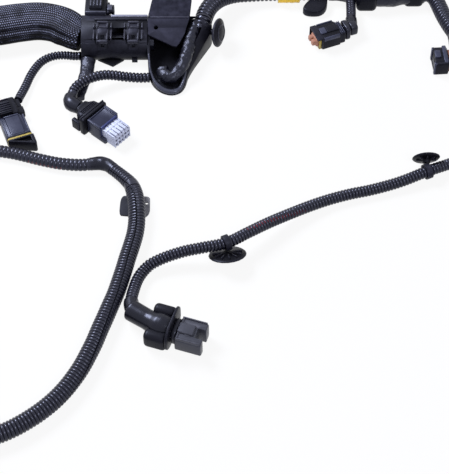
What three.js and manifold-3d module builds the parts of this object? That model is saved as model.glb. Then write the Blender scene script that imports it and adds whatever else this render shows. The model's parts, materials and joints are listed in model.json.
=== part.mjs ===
// Wiring harness: a braided trunk, a moulded duct with a scoop outlet, corrugated conduits and sealed plugs.
// Millimetres, +Z up. The origin is the middle of the duct's flat underside, and +X runs from trunk to scoop.

import * as THREE from 'three';
import { mergeVertices } from 'three/addons/utils/BufferGeometryUtils.js';
import Module from 'manifold-3d';

const wasm = await Module();
wasm.setup();

// General fits
const GAP = 0.3;
const BORE_CLEARANCE = 0.6;
const TUBE_SIDES = 10;
const ROUND_SIDES = 24;

// Outer diameters of the conduits and tubes
const MAIN_OD = 17.5;
const LEFT_OD = 13;
const RIGHT_OD = 12;
const THIN_OD = 9.5;
const SIDE_OD = 11;
const UPPER_OD = 20;
const TAPED_OD = 13;
const LEAD_OD = 11;
const EDGE_LEAD_OD = 18;

// Trunk
const TRUNK_WIDTH = 54;
const TRUNK_HEIGHT = 34;
const TRUNK_FOLD = 1.2;
const TRUNK_FOLDS = 5;

// Duct
const DUCT_LEFT = -36;
const DUCT_RIGHT = 36;
const DUCT_BACK = 20;
const DUCT_CREST = 12;
const DUCT_REACH = 32;
const DUCT_HEIGHT = 34;
const DUCT_AXIS_Z = 12;
const DUCT_SPLIT = 25;
const DUCT_WALL = 2.4;
const BUNDLE_OD = 20;
const SLEEVE_OD = 21;

// Duct cover: buckle straps and window
const STRAP_WIDTH = 10;
const STRAP_THICKNESS = 2;
const STRAP_STANDOFF = 0.9;
const STRAP_LEFT_X = -12.5;
const STRAP_RIGHT_X = 21;
const STRAP_FOOT = 21;
const STRAP_SLOT = 3.4;
const WINDOW_FOOT = 27.5;
const WINDOW_LEFT = -4;
const WINDOW_RIGHT = 12;

// Scoop and guide plate
const SCOOP_WALL = 2.6;
const SCOOP_FLOOR = 2.4;
const SCOOP_LIP_FRONT = 3;
const SCOOP_LIP_SLOPE = 0.41;
const SCOOP_ROOF_EDGE = -15;
const PLATE_THICKNESS = 2.6;
const PLATE_FOLD_Y = 15;
const PLATE_FOLD_Z = 36;
const PLATE_SLOPE = 0.325;
const PLATE_RISE = 0.36;
const PLATE_HOLE = 5;

// Umbrella clips
const CLIP_DISC = 38;
const SMALL_CLIP_DISC = 29;
const CLIP_DISC_THICKNESS = 2;
const CLIP_STRAP = 6;
const STRAP_WALL = 1.6;

const harness = new THREE.Group();
harness.name = 'wiring_harness';

const finishes = {
  moulded: [0x1b1b20, 0.45],
  greyMoulded: [0x34353f, 0.5],
  rubber: [0x151518, 0.6],
  conduit: [0x1d1d22, 0.42],
  tape: [0x121216, 0.25],
  braid: [0x202028, 0.7],
  insert: [0xc9ccda, 0.5],
  amber: [0xb5753f, 0.45],
  yellow: [0xc8a21a, 0.5],
};

// Shapes and solids

function add(name, geometry, finish, parent = harness) {
  const [color, roughness] = finishes[finish];
  const mesh = new THREE.Mesh(geometry, new THREE.MeshStandardMaterial({ color, roughness, metalness: 0 }));
  mesh.name = name;
  parent.add(mesh);
  return mesh;
}

function frameAt(x, y, headingDegrees, parent = harness) {
  const frame = new THREE.Group();
  frame.position.set(x, y, 0);
  frame.rotation.z = THREE.MathUtils.degToRad(headingDegrees);
  parent.add(frame);
  return frame;
}

function toSolid(geometry) {
  const bare = geometry.clone();
  bare.deleteAttribute('normal');
  bare.deleteAttribute('uv');
  const merged = mergeVertices(bare, 1e-4);
  return new wasm.Manifold(new wasm.Mesh({
    numProp: 3,
    vertProperties: new Float32Array(merged.attributes.position.array),
    triVerts: new Uint32Array(merged.index.array),
  }));
}

function fromSolid(solid) {
  const mesh = solid.getMesh();
  const geometry = new THREE.BufferGeometry();
  geometry.setAttribute('position', new THREE.BufferAttribute(new Float32Array(mesh.vertProperties), 3));
  geometry.setIndex(new THREE.BufferAttribute(new Uint32Array(mesh.triVerts), 1));
  geometry.computeVertexNormals();
  return geometry;
}

function join(...geometries) {
  return fromSolid(geometries.map(toSolid).reduce((a, b) => a.add(b)));
}

function cut(geometry, ...tools) {
  return fromSolid(tools.map(toSolid).reduce((a, b) => a.subtract(b), toSolid(geometry)));
}

function points(list) {
  return list.map((p) => new THREE.Vector3(...p));
}

function circle(radius, sides) {
  const shape = new THREE.Shape();
  for (let i = 0; i < sides; i += 1) {
    const angle = (2 * Math.PI * i) / sides;
    const at = [radius * Math.cos(angle), radius * Math.sin(angle)];
    if (i === 0) shape.moveTo(...at);
    else shape.lineTo(...at);
  }
  shape.closePath();
  return shape;
}

function roundedRect(width, height, radius, centreZ, centreY = 0) {
  const shape = new THREE.Shape();
  const right = centreY + width / 2 - radius;
  const left = centreY - width / 2 + radius;
  const top = centreZ + height / 2 - radius;
  const bottom = centreZ - height / 2 + radius;
  shape.absarc(right, bottom, radius, -Math.PI / 2, 0);
  shape.absarc(right, top, radius, 0, Math.PI / 2);
  shape.absarc(left, top, radius, Math.PI / 2, Math.PI);
  shape.absarc(left, bottom, radius, Math.PI, 1.5 * Math.PI);
  shape.closePath();
  return shape;
}

// An outline in Y and Z, drawn out along X
function alongX(shape, from, to, bevel = 0, curveSegments = 3) {
  const geometry = new THREE.ExtrudeGeometry(shape, {
    depth: to - from - 2 * bevel,
    bevelEnabled: bevel > 0,
    bevelThickness: bevel,
    bevelSize: bevel,
    bevelOffset: -bevel,
    bevelSegments: 1,
    curveSegments,
  });
  const turn = new THREE.Matrix4().makeBasis(
    new THREE.Vector3(0, 1, 0), new THREE.Vector3(0, 0, 1), new THREE.Vector3(1, 0, 0));
  return geometry.applyMatrix4(turn).translate(from + bevel, 0, 0);
}

function box(x0, x1, y0, y1, z0, z1) {
  const geometry = new THREE.BoxGeometry(x1 - x0, y1 - y0, z1 - z0);
  return geometry.translate((x0 + x1) / 2, (y0 + y1) / 2, (z0 + z1) / 2);
}

// A round tube of one diameter along a route
function tube(route, diameter, stepLength = 2.5 * diameter, sides = TUBE_SIDES) {
  const curve = new THREE.CatmullRomCurve3(points(route));
  return new THREE.ExtrudeGeometry(circle(diameter / 2, sides), {
    steps: Math.max(2, Math.round(curve.getLength() / stepLength)),
    bevelEnabled: false,
    extrudePath: curve,
  });
}

// A solid between rings of equally many points, closed by a fan at each end
function loft(rings) {
  const count = rings[0].length;
  const corners = rings.flat();
  const faces = [];
  for (let r = 0; r + 1 < rings.length; r += 1) {
    for (let i = 0; i < count; i += 1) {
      const a = r * count + i;
      const b = r * count + ((i + 1) % count);
      faces.push(a, b, a + count, b, b + count, a + count);
    }
  }
  const centre = (ring) => ring.reduce((sum, p) => sum.clone().add(p)).clone().divideScalar(count);
  const last = (rings.length - 1) * count;
  corners.push(centre(rings[0]), centre(rings[rings.length - 1]));
  for (let i = 0; i < count; i += 1) {
    const next = (i + 1) % count;
    faces.push(next, i, corners.length - 2);
    faces.push(last + i, last + next, corners.length - 1);
  }
  let volume = 0;
  for (let f = 0; f < faces.length; f += 3) {
    const [a, b, c] = faces.slice(f, f + 3).map((k) => corners[k]);
    volume += a.dot(b.clone().cross(c));
  }
  if (volume < 0) faces.reverse();
  const geometry = new THREE.BufferGeometry().setFromPoints(corners);
  geometry.setIndex(faces);
  geometry.computeVertexNormals();
  return geometry;
}

// A tube whose radius changes along its route: [distance share, radius] pairs
function taperedTube(route, radii, steps, sides = ROUND_SIDES) {
  const curve = new THREE.CatmullRomCurve3(points(route));
  const frames = curve.computeFrenetFrames(steps);
  const radiusAt = (u) => {
    const after = Math.max(1, radii.findIndex(([share]) => share >= u));
    const [u0, r0] = radii[after - 1];
    const [u1, r1] = radii[after];
    return r0 + ((r1 - r0) * (u - u0)) / (u1 - u0);
  };
  const rings = [];
  for (let s = 0; s <= steps; s += 1) {
    const middle = curve.getPointAt(s / steps);
    const radius = radiusAt(s / steps);
    rings.push(Array.from({ length: sides }, (_, i) => {
      const angle = (2 * Math.PI * i) / sides;
      return middle.clone()
        .addScaledVector(frames.normals[s], radius * Math.cos(angle))
        .addScaledVector(frames.binormals[s], radius * Math.sin(angle));
    }));
  }
  return loft(rings);
}

// A turned solid: [distance along the axis, radius] pairs, from the axis back to the axis
function turned(profile, at, direction, sides = ROUND_SIDES) {
  const geometry = new THREE.LatheGeometry(profile.map(([along, radius]) => new THREE.Vector2(radius, along)), sides);
  const turn = new THREE.Quaternion().setFromUnitVectors(
    new THREE.Vector3(0, 1, 0), new THREE.Vector3(...direction).normalize());
  return geometry.applyQuaternion(turn).translate(...at);
}

// A ring of twelve points round a rectangle with rounded corners, across X
function rectRing(x, width, height, radius, centreZ, centreY = 0) {
  const ring = [];
  const corners = [[1, -1, -90], [1, 1, 0], [-1, 1, 90], [-1, -1, 180]];
  corners.forEach(([sideY, sideZ, startDegrees]) => {
    for (let k = 0; k < 3; k += 1) {
      const angle = THREE.MathUtils.degToRad(startDegrees + 45 * k);
      ring.push(new THREE.Vector3(
        x,
        centreY + sideY * (width / 2 - radius) + radius * Math.cos(angle),
        centreZ + sideZ * (height / 2 - radius) + radius * Math.sin(angle)));
    }
  });
  return ring;
}

// A block with rounded edges that starts at x0 and rests on the height z0
function block(x0, length, width, height, radius, z0, centreY = 0, bevel = 0.8) {
  return alongX(roundedRect(width, height, radius, z0 + height / 2, centreY), x0, x0 + length, bevel);
}

// Routes, chosen by hand: where each conduit lies on the ground

const leftRoute = [
  [-172, -3, 14], [-174, -15, 11], [-180, -30, 7.5], [-188, -46, 6.6], [-190, -64, 6.6], [-187, -86, 6.6],
  [-178, -108, 6.6], [-163, -128, 6.6], [-141, -143, 6.6], [-114, -151, 6.6], [-100, -154, 6.6], [-86, -158, 6.6],
  [-70, -163, 6.6], [-50, -168, 6.6], [-30, -170, 6.7], [-17.2, -169.3, 7.2],
];
const mainRoute = [
  [5.8, -177, 8], [12.5, -183.7, 8.6], [20.4, -193, 10], [26, -202, 11], [30, -216.5, 11.6], [31.8, -232, 11.4],
  [32.2, -247, 9.6], [31, -261, 8.9], [28.1, -275.8, 8.9], [24.7, -290.5, 8.9], [21.7, -305, 8.9],
  [18.4, -319.3, 8.9], [14.9, -333.5, 8.9], [10.4, -347.5, 8.9], [6, -361.4, 8.9], [1.5, -375.1, 8.9],
  [-2.6, -388.6, 8.9], [-7.5, -402, 8.9], [-12.8, -415.2, 8.9], [-19.5, -428.3, 8.9], [-27.5, -441.2, 8.9],
  [-37.7, -454, 8.9], [-50.9, -466.7, 8.9], [-67.7, -479.2, 8.9], [-82.8, -487.4, 8.9], [-100, -494, 8.9],
  [-114, -498, 8.9],
];
const rightRoute = [
  [30.4, -342.6, 9.6], [30.8, -336, 8.8], [32, -328, 7.2], [34.6, -317, 6.3], [38, -309, 6.3], [43, -302, 7],
  [49.5, -297, 9], [63, -291.5, 12], [81, -287.5, 16], [98, -285.5, 19], [122, -280.5, 20.5], [144, -266, 18.5],
  [164, -251.5, 15], [185, -237.5, 11], [206, -225, 8], [227, -215, 6.4], [248, -208, 6.2], [268, -203, 6.2],
  [289, -196.5, 6.6], [305, -191, 8], [328, -181, 9.8], [351, -170, 8], [372, -160, 6.4], [392, -153, 6.2],
];
const thinRoute = [
  [-37.4, -15.8, 7.4], [-45, -14.4, 5.8], [-54, -12.5, 4.9], [-64, -13, 4.9], [-73, -16.5, 4.9], [-80.5, -23, 4.9],
  [-86, -32.5, 4.9], [-90.5, -44, 4.9], [-93.5, -55.5, 4.9], [-96.3, -66, 5.6], [-98.6, -74, 6.6],
  [-100.2, -80.6, 7.2],
];
const sideRoute = [
  [39, -47.5, 7], [28, -47.5, 6.6], [13, -47.3, 8], [1, -48.5, 11.5], [-10, -51, 14.5], [-22, -56, 16],
  [-32.5, -62.5, 15.8], [-39.5, -70, 14.5], [-42.5, -78.5, 13],
];
const upperRoute = [
  [96.5, 22, 23], [100, 36, 23], [106.5, 50, 21.5], [117, 63, 18.5], [132, 72.5, 15], [150, 77.5, 12],
  [171, 79.4, 11.5], [194, 80.2, 11.5], [217, 80.6, 11.5], [237, 81, 11.3],
];
const tapedRoute = [
  [63.5, -48, 9.2], [71.5, -41, 12.5], [77, -30, 16], [80.5, -16.5, 19], [84, 0, 21.5], [87.6, 12, 23],
  [90.4, 18, 23.4],
];
const sleeveRoute = [
  [237.6, 81, 10.8], [247, 81, 11.2], [260, 78.5, 11.6], [278, 75, 11.6], [298, 74.4, 11.6], [320, 76.4, 11.6],
  [344.5, 76.8, 11.6],
];
const edgeLeadRoute = [
  [346.2, 76.9, 11.6], [351.5, 76.4, 11.4], [357, 70, 10.8], [360.5, 59, 10], [364.5, 44, 9.6], [370, 28, 9.6],
  [374.4, 17, 9.7], [375.2, 10, 9.8],
];

// Trunk, its collar and its cut-off end

const trunkRoute = points([
  [-160, 18, 17.6], [-146, 18.3, 17.6], [-128, 20.3, 17.6], [-106, 24.8, 17.6], [-84, 27, 17.6], [-64, 22.5, 17.6],
  [-50, 16, 17.6],
]);
const TRUNK_FRONT_WIDTH = 46;

function flatRing(middle, heading, width, height, fold) {
  const across = new THREE.Vector3(-Math.sin(heading), Math.cos(heading), 0);
  return Array.from({ length: ROUND_SIDES }, (_, i) => {
    const angle = (2 * Math.PI * i) / ROUND_SIDES;
    const crease = fold * Math.cos(TRUNK_FOLDS * angle);
    return middle.clone()
      .addScaledVector(across, (width / 2 - crease) * Math.cos(angle))
      .add(new THREE.Vector3(0, 0, (height / 2 - Math.abs(crease)) * Math.sin(angle)));
  });
}

const trunkCurve = new THREE.CatmullRomCurve3(trunkRoute);
const TRUNK_STEPS = 14;
const trunkRings = Array.from({ length: TRUNK_STEPS + 1 }, (_, s) => {
  const share = s / TRUNK_STEPS;
  const along = trunkCurve.getTangentAt(share);
  const heading = s === 0 ? 0 : Math.atan2(along.y, along.x);
  const width = THREE.MathUtils.lerp(TRUNK_WIDTH, TRUNK_FRONT_WIDTH, share);
  return flatRing(trunkCurve.getPointAt(share), heading, width, TRUNK_HEIGHT, TRUNK_FOLD);
});
add('trunk', loft(trunkRings), 'braid');

// Collar: bands of tape from the trunk's mouth, narrowing into the duct
const COLLAR_BANDS = 5;
const COLLAR_RIB = 1.1;
const trunkMouth = trunkRoute[trunkRoute.length - 1];
const mouthAlong = trunkCurve.getTangentAt(1);
const mouthHeading = Math.atan2(mouthAlong.y, mouthAlong.x);
const collarStart = trunkMouth.clone().addScaledVector(mouthAlong, GAP);
const collarEnd = new THREE.Vector3(DUCT_LEFT - GAP, 3, trunkMouth.z);
const collarRings = Array.from({ length: COLLAR_BANDS * 2 + 1 }, (_, k) => {
  const share = k / (COLLAR_BANDS * 2);
  const rib = (k % 2) * COLLAR_RIB;
  const width = THREE.MathUtils.lerp(TRUNK_FRONT_WIDTH - 3, 2 * DUCT_BACK - 9, share) + rib;
  const height = THREE.MathUtils.lerp(TRUNK_HEIGHT - 2 * COLLAR_RIB, TRUNK_HEIGHT - 5, share) + rib;
  return flatRing(collarStart.clone().lerp(collarEnd, share), mouthHeading * (1 - share), width, height, 0);
});
add('trunk_collar', loft(collarRings), 'tape');

// Moulded breakout at the trunk's far end with the left conduit's outlet, and the connector behind it
const BREAKOUT_BACK = -187;
const BREAKOUT_FRONT = trunkRoute[0].x - GAP;
const BREAKOUT_Y = trunkRoute[0].y;
const TRUNK_PLUG_LENGTH = 34;
const breakout = block(BREAKOUT_BACK, BREAKOUT_FRONT - BREAKOUT_BACK, TRUNK_WIDTH + 3, TRUNK_HEIGHT + 2, 12, 0.2,
  BREAKOUT_Y, 3);
const leftOutlet = tube([[-172, 4, 15], ...leftRoute.slice(0, 3)], LEFT_OD + 4 * BORE_CLEARANCE, 6, 16);
add('trunk_breakout', cut(breakout, leftOutlet), 'rubber');
const plugBack = BREAKOUT_BACK - GAP - TRUNK_PLUG_LENGTH;
add('trunk_connector', join(
  block(plugBack, TRUNK_PLUG_LENGTH, 60, 34, 4, 0.2, BREAKOUT_Y),
  block(plugBack + 20, 5, 68, 39, 5, 0, BREAKOUT_Y)), 'moulded');

// Duct: a tray and a cover that share one rounded outline

function ductOutline(offset, low, high) {
  const reach = DUCT_REACH + offset;
  const rise = DUCT_HEIGHT - DUCT_AXIS_Z + offset;
  const angleOf = (z) => Math.asin(Math.min(1, (z - DUCT_AXIS_Z) / rise));
  const from = angleOf(Math.max(low, -offset));
  const to = angleOf(high);
  const steps = 7;
  const front = Array.from({ length: steps + 1 }, (_, i) => {
    const angle = from + ((to - from) * i) / steps;
    return [DUCT_CREST - reach * Math.cos(angle), DUCT_AXIS_Z + rise * Math.sin(angle)];
  });
  const back = DUCT_BACK + offset;
  const outline = [...front, [back, front[steps][1]], [back, front[0][1]]];
  return new THREE.Shape(outline.map(([y, z]) => new THREE.Vector2(y, z)));
}

const trayBody = alongX(ductOutline(0, 0, DUCT_SPLIT), DUCT_LEFT, DUCT_RIGHT);
const trayHollow = alongX(ductOutline(-DUCT_WALL, 0, DUCT_SPLIT + 1), DUCT_LEFT - 1, DUCT_RIGHT + 1);
const DUCT_FRONT = DUCT_CREST - DUCT_REACH;
const DUCT_FOOT = DUCT_CREST - DUCT_REACH * Math.sqrt(1 - (DUCT_AXIS_Z / (DUCT_HEIGHT - DUCT_AXIS_Z)) ** 2);
const TAB_X = -2;
const TAB_REACH = 5.5;
const TAB_THICKNESS = 3;
const TAB_ROOT = DUCT_FOOT - 1.2;
const PEG_WIDTH = 6;
const PEG_REACH = 1.5;
const tabShape = new THREE.Shape([
  new THREE.Vector2(TAB_X - 17, TAB_ROOT),
  new THREE.Vector2(TAB_X, DUCT_FRONT - TAB_REACH),
  new THREE.Vector2(TAB_X + 12, TAB_ROOT),
]);
const frontTab = new THREE.ExtrudeGeometry(tabShape, { depth: TAB_THICKNESS, bevelEnabled: false });
const peg = box(19, 19 + PEG_WIDTH, DUCT_FRONT - PEG_REACH, DUCT_FRONT + 4, 3, 8);
add('duct_tray', cut(join(trayBody, frontTab, peg), trayHollow), 'moulded');

const coverFoot = DUCT_SPLIT + GAP;
const coverBody = alongX(ductOutline(0, coverFoot, DUCT_HEIGHT), DUCT_LEFT, DUCT_RIGHT);
const coverHollow = alongX(ductOutline(-DUCT_WALL, coverFoot - 1, DUCT_HEIGHT), DUCT_LEFT - 1, DUCT_RIGHT + 1);
const windowCut = box(WINDOW_LEFT, WINDOW_RIGHT, -DUCT_REACH, DUCT_CREST - 7, WINDOW_FOOT, DUCT_HEIGHT - 1.2);

function strap(centreX) {
  const from = centreX - STRAP_WIDTH / 2;
  const to = centreX + STRAP_WIDTH / 2;
  const outer = alongX(ductOutline(STRAP_THICKNESS + STRAP_STANDOFF, STRAP_FOOT, DUCT_HEIGHT), from, to);
  const inner = alongX(ductOutline(STRAP_STANDOFF, 0, DUCT_HEIGHT), from - 1, to + 1);
  const slot = box(centreX - STRAP_SLOT / 2, centreX + STRAP_SLOT / 2, -DUCT_REACH, 2, STRAP_FOOT + 3, DUCT_HEIGHT - 2);
  const behind = box(from - 1, to + 1, DUCT_CREST - 2, 2 * DUCT_REACH, 0, 2 * DUCT_HEIGHT);
  const root = box(from, to, DUCT_CREST - 11, DUCT_CREST - 3, DUCT_HEIGHT - 3, DUCT_HEIGHT + 1);
  return join(cut(outer, inner, slot, behind), root);
}

const coverRim = box(DUCT_LEFT + 14, DUCT_RIGHT, DUCT_CREST, DUCT_CREST + 3, DUCT_HEIGHT - 1, DUCT_HEIGHT + 1.6);
const cover = cut(join(coverBody, coverRim), windowCut);
add('duct_cover', cut(join(cover, strap(STRAP_LEFT_X), strap(STRAP_RIGHT_X)), coverHollow), 'moulded');

const bundleZ = DUCT_WALL + GAP + BUNDLE_OD / 2;
const BUNDLE_END = DUCT_RIGHT + 7;
add('duct_bundle', tube([[DUCT_LEFT + GAP, 2, bundleZ], [0, 2, bundleZ], [BUNDLE_END, 1, bundleZ]], BUNDLE_OD, 14),
  'tape');

// Scoop: one moulding, walls that follow a falling lip, open towards the front

function plateUnder(y) {
  return PLATE_FOLD_Z - PLATE_SLOPE * (PLATE_FOLD_Y - y) - PLATE_THICKNESS * Math.hypot(1, PLATE_SLOPE);
}

function lipHeight(y) {
  const roofed = plateUnder(Math.min(PLATE_FOLD_Y, Math.max(y, SCOOP_ROOF_EDGE))) - GAP;
  const fallen = Math.max(0, SCOOP_ROOF_EDGE - y) * SCOOP_LIP_SLOPE;
  return Math.max(SCOOP_LIP_FRONT, roofed - fallen);
}

const SCOOP_LEFT = DUCT_RIGHT + GAP;
const scoopOuter = [
  [SCOOP_LEFT + 4, 22], [SCOOP_LEFT, 12], [SCOOP_LEFT, -8], [SCOOP_LEFT + 0.5, -28], [38.5, -43], [44, -56],
  [53, -64.5], [63.5, -67.5], [72.5, -64], [77.5, -56], [80.5, -44], [88, -26], [100, -3], [106, 10], [104, 21],
  [72, 23],
];
const scoopInner = [
  [SCOOP_LEFT + 5, 19], [SCOOP_LEFT + SCOOP_WALL, 10], [SCOOP_LEFT + SCOOP_WALL, -8],
  [SCOOP_LEFT + SCOOP_WALL + 0.5, -27], [41.5, -41.5], [47, -53.5], [55, -60.5], [63.5, -62.5], [70, -60],
  [73.5, -53], [76, -42.5], [81, -26], [91, -5], [95.5, 8], [94, 17.5], [72, 19.5],
];
const SCOOP_FLANK_X = 76;
const SCOOP_FLANK_DROP = 9;

function scoopLoop(outline, heightAt) {
  const flat = outline.map(([x, y]) => new THREE.Vector3(x, y, 0));
  const loop = new THREE.CatmullRomCurve3(flat, true, 'centripetal');
  const samples = 3 * outline.length;
  return Array.from({ length: samples }, (_, i) => {
    const p = loop.getPoint(i / samples);
    return new THREE.Vector3(p.x, p.y, heightAt(p));
  });
}

const innerLip = (p) => lipHeight(p.y);
const outerLip = (p) => {
  const flank = Math.min(1, Math.max(0, p.x - SCOOP_FLANK_X) / 12);
  return Math.max(SCOOP_LIP_FRONT, lipHeight(p.y) - SCOOP_FLANK_DROP * flank);
};
const scoopShell = loft([
  scoopLoop(scoopOuter, () => 0),
  scoopLoop(scoopOuter, outerLip),
  scoopLoop(scoopInner, innerLip),
  scoopLoop(scoopInner, () => SCOOP_FLOOR),
]);

// Push clip on the scoop's flank: a domed oval cap whose stem stands in a socket
const KNOB_AXIS = [0.92, -0.33, 0.2];
const KNOB_ROOT = [97.5, 12.5, 17];
const KNOB_REACH = 15;
const KNOB_STEM = 3.4;
const KNOB_CAP = 16;
const knobSocket = turned([[-1, 0], [-1, KNOB_STEM + GAP], [14, KNOB_STEM + GAP], [14, 0]], KNOB_ROOT, KNOB_AXIS);

const passage = (route, diameter) => tube(route, diameter + 2 * BORE_CLEARANCE, 6, 16);
add('scoop', cut(
  scoopShell,
  box(0, SCOOP_LEFT, -80, 60, -1, 60),
  passage([...tapedRoute, [95, 29, 23.6]], TAPED_OD + 1),
  passage([[95.5, 17, 23], ...upperRoute.slice(0, 3)], UPPER_OD),
  passage([[DUCT_RIGHT - 8, 1, bundleZ], [DUCT_RIGHT + 14, 1, bundleZ]], BUNDLE_OD),
  passage([[30, sideRoute[0][1], sideRoute[0][2]], [50, sideRoute[0][1], sideRoute[0][2]]], SIDE_OD),
  knobSocket,
), 'moulded');
add('side_clip_stem', turned([[0, 0], [0, KNOB_STEM], [KNOB_REACH - GAP, KNOB_STEM], [KNOB_REACH - GAP, 0]],
  KNOB_ROOT, KNOB_AXIS), 'moulded');
add('side_clip_cap', turned([
  [KNOB_REACH, 0], [KNOB_REACH, KNOB_CAP - 2], [KNOB_REACH + 1.5, KNOB_CAP], [KNOB_REACH + 3, KNOB_CAP - 0.5],
  [KNOB_REACH + 6, KNOB_CAP / 2], [KNOB_REACH + 7, 0],
], KNOB_ROOT, KNOB_AXIS), 'moulded');

// Guide plate: a sloping flange with a hole and, past the fold, a rising plate that runs away to the back
function plate(outline, angle, hole) {
  const shape = new THREE.Shape(outline.map(([x, y]) => new THREE.Vector2(x, y)));
  if (hole) shape.holes.push(new THREE.Path().absarc(hole[0], hole[1], PLATE_HOLE / 2, 0, 2 * Math.PI, true));
  const geometry = new THREE.ExtrudeGeometry(shape, {
    depth: PLATE_THICKNESS, bevelEnabled: false, curveSegments: 12,
  });
  return geometry.translate(0, 0, -PLATE_THICKNESS).rotateX(angle).translate(0, PLATE_FOLD_Y, PLATE_FOLD_Z);
}

const flangePlate = plate([
  [SCOOP_LEFT, 0.4], [SCOOP_LEFT, -20], [38, -21.5], [64, -34.5], [68, -35], [71, -31], [76.5, -20], [78.5, -12],
  [82, 0.4],
], Math.atan(PLATE_SLOPE), [45.5, -12.5]);
const risingPlate = plate([
  [SCOOP_LEFT, -0.4], [82, -0.4], [84, 20], [84, 40], [80, 44], [50, 44], [46, 40], [40, 18],
], Math.atan(PLATE_RISE));
const foldBead = alongX(roundedRect(3, 2.6, 1.2, PLATE_FOLD_Z - PLATE_THICKNESS / 2, PLATE_FOLD_Y), SCOOP_LEFT, 82);
add('guide_plate', join(flangePlate, risingPlate, foldBead), 'moulded');

add('taped_tube', tube(tapedRoute, TAPED_OD, 7, 14), 'tape');
add('upper_conduit', tube(upperRoute, UPPER_OD, 16), 'conduit');

// Rear plug that stands behind the duct, with a hook latch
const REAR_Y = DUCT_BACK + GAP;
add('rear_plug_housing', join(
  alongX(roundedRect(30, 37, 5, 18.7, REAR_Y + 15), -33, -9, 1.5),
  alongX(roundedRect(22, 41, 4, 20.7, REAR_Y + 16), -28, -14, 1)), 'moulded');
add('rear_plug_latch', join(
  box(-8.7, -6, REAR_Y + 2, REAR_Y + 18, 14, 36),
  box(-6.5, -1, REAR_Y + 4, REAR_Y + 14, 31, 36),
  box(-3.5, -1, REAR_Y + 4, REAR_Y + 14, 25, 32)), 'moulded');

// Taped branch in front of the duct, under the side conduit
function branchRing(x, y, headingDegrees, width, height) {
  const heading = THREE.MathUtils.degToRad(headingDegrees);
  return rectRing(0, width, height, 3, height / 2 + 0.2)
    .map((p) => p.applyAxisAngle(new THREE.Vector3(0, 0, 1), heading).add(new THREE.Vector3(x, y, 0)));
}
add('taped_branch', loft([
  branchRing(-29, DUCT_FRONT - GAP - 0.1, -90, 17, 12), branchRing(-29.3, -31, -92, 16, 9.5), branchRing(-31, -45, -94, 15, 8.6),
  branchRing(-33, -58, -98, 14, 8.4), branchRing(-35.3, -68, -98, 12, 7.4), branchRing(-34.8, -76, -82, 11, 6.6),
]), 'tape');

add('side_conduit', tube(sideRoute, SIDE_OD, 14), 'conduit');
add('thin_conduit', tube(thinRoute, THIN_OD, 14), 'conduit');
add('left_conduit', tube(leftRoute, LEFT_OD, 22), 'conduit');
const MAIN_NARROW = 13.4;
add('main_conduit', taperedTube(mainRoute, [[0, MAIN_NARROW / 2], [0.04, MAIN_NARROW / 2 + 0.4], [0.11, MAIN_OD / 2],
  [1, MAIN_OD / 2]], 30, TUBE_SIDES), 'conduit');
add('right_conduit', tube(rightRoute, RIGHT_OD, 18), 'conduit');

// Tape over the junction
add('junction_tape', taperedTube(
  [[-16.6, -169.3, 7.3], [-9, -168.5, 7.5], [-1.5, -170.6, 7.8], [2.4, -173.6, 7.9], [5.3, -176.5, 8]],
  [[0, LEFT_OD / 2 + 0.4], [0.5, LEFT_OD / 2 + 0.9], [1, MAIN_NARROW / 2]], 7), 'tape');

// Yellow tape band on the upper conduit
add('yellow_band', cut(
  tube([[180, 79.8, 11.5], [192, 80.15, 11.5], [205, 80.4, 11.5]], UPPER_OD + 2.8, 14, 20),
  tube(upperRoute, UPPER_OD + 4 * GAP, 16, 20)), 'yellow');

// Bundle along the back edge: sleeve, two blocks that hold it, and a tongue-shaped branch cap
const sleeveBore = tube([[230, 82, 10.8], ...sleeveRoute.slice(1), [352, 76.5, 11.6]], SLEEVE_OD + 2 * BORE_CLEARANCE, 14, 16);
add('bundle_sleeve', tube(sleeveRoute, SLEEVE_OD, 14, 14), 'tape');
add('bundle_clamp', cut(block(268, 23, 35, 26, 4, 0, 74), sleeveBore), 'moulded');
add('bundle_bracket', cut(block(322, 22, 27, 25, 4, 0, 77), sleeveBore), 'moulded');
const tongue = new THREE.Shape();
tongue.moveTo(236, 70.6);
tongue.bezierCurveTo(236, 60, 233, 53.5, 226, 51);
tongue.bezierCurveTo(217, 49.5, 209, 51, 208, 56);
tongue.bezierCurveTo(208, 61, 212, 66, 216, 70.6);
const tongueSolid = new THREE.ExtrudeGeometry(tongue, {
  depth: 6, bevelEnabled: true, bevelThickness: 2, bevelSize: 2, bevelOffset: -2, bevelSegments: 2, curveSegments: 6,
}).translate(0, 0, 2.2);
add('branch_cap', tongueSolid, 'moulded');

// Multiway plug with a comb-like insert
const multiway = frameAt(-33, -95, -41);
add('multiway_elbow', taperedTube(
  [[-43, -79.9, 12.8], [-44, -85.4, 12.3], [-41.5, -90.5, 12], [-36.5, -93.5, 12], [-33.2, -95.6, 12]],
  [[0, 6.8], [0.5, 8.4], [1, 7.2]], 8, 18), 'rubber');
const MULTIWAY_WIDTH = 28;
const MULTIWAY_HEIGHT = 19;
const COVER_END = 15;
add('multiway_cover', loft([
  rectRing(1.8, 15, 15, 3, 11.6), rectRing(5, 19, 17.5, 3, 9.6), rectRing(9, MULTIWAY_WIDTH - 1, 19, 3, 10),
  rectRing(COVER_END, MULTIWAY_WIDTH, 20, 3, 10.3),
]), 'moulded', multiway);
add('multiway_latch', block(6, 11, 5, 13, 1.5, 1.5, -MULTIWAY_WIDTH / 2 - 2.9), 'moulded', multiway);
const lockStart = COVER_END + GAP;
add('multiway_lock', join(
  block(lockStart + 3, 5.5, MULTIWAY_WIDTH + 8, 24, 3, 0.2, -1.5),
  block(lockStart, 5, MULTIWAY_WIDTH - 2, 21.5, 3, 0.6)), 'moulded', multiway);
const housingStart = lockStart + 8.5 + GAP;
const HOUSING_LENGTH = 19;
const TRAY_LENGTH = 6;
const insertStart = housingStart + HOUSING_LENGTH + GAP;
const INSERT_LENGTH = 18;
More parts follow.
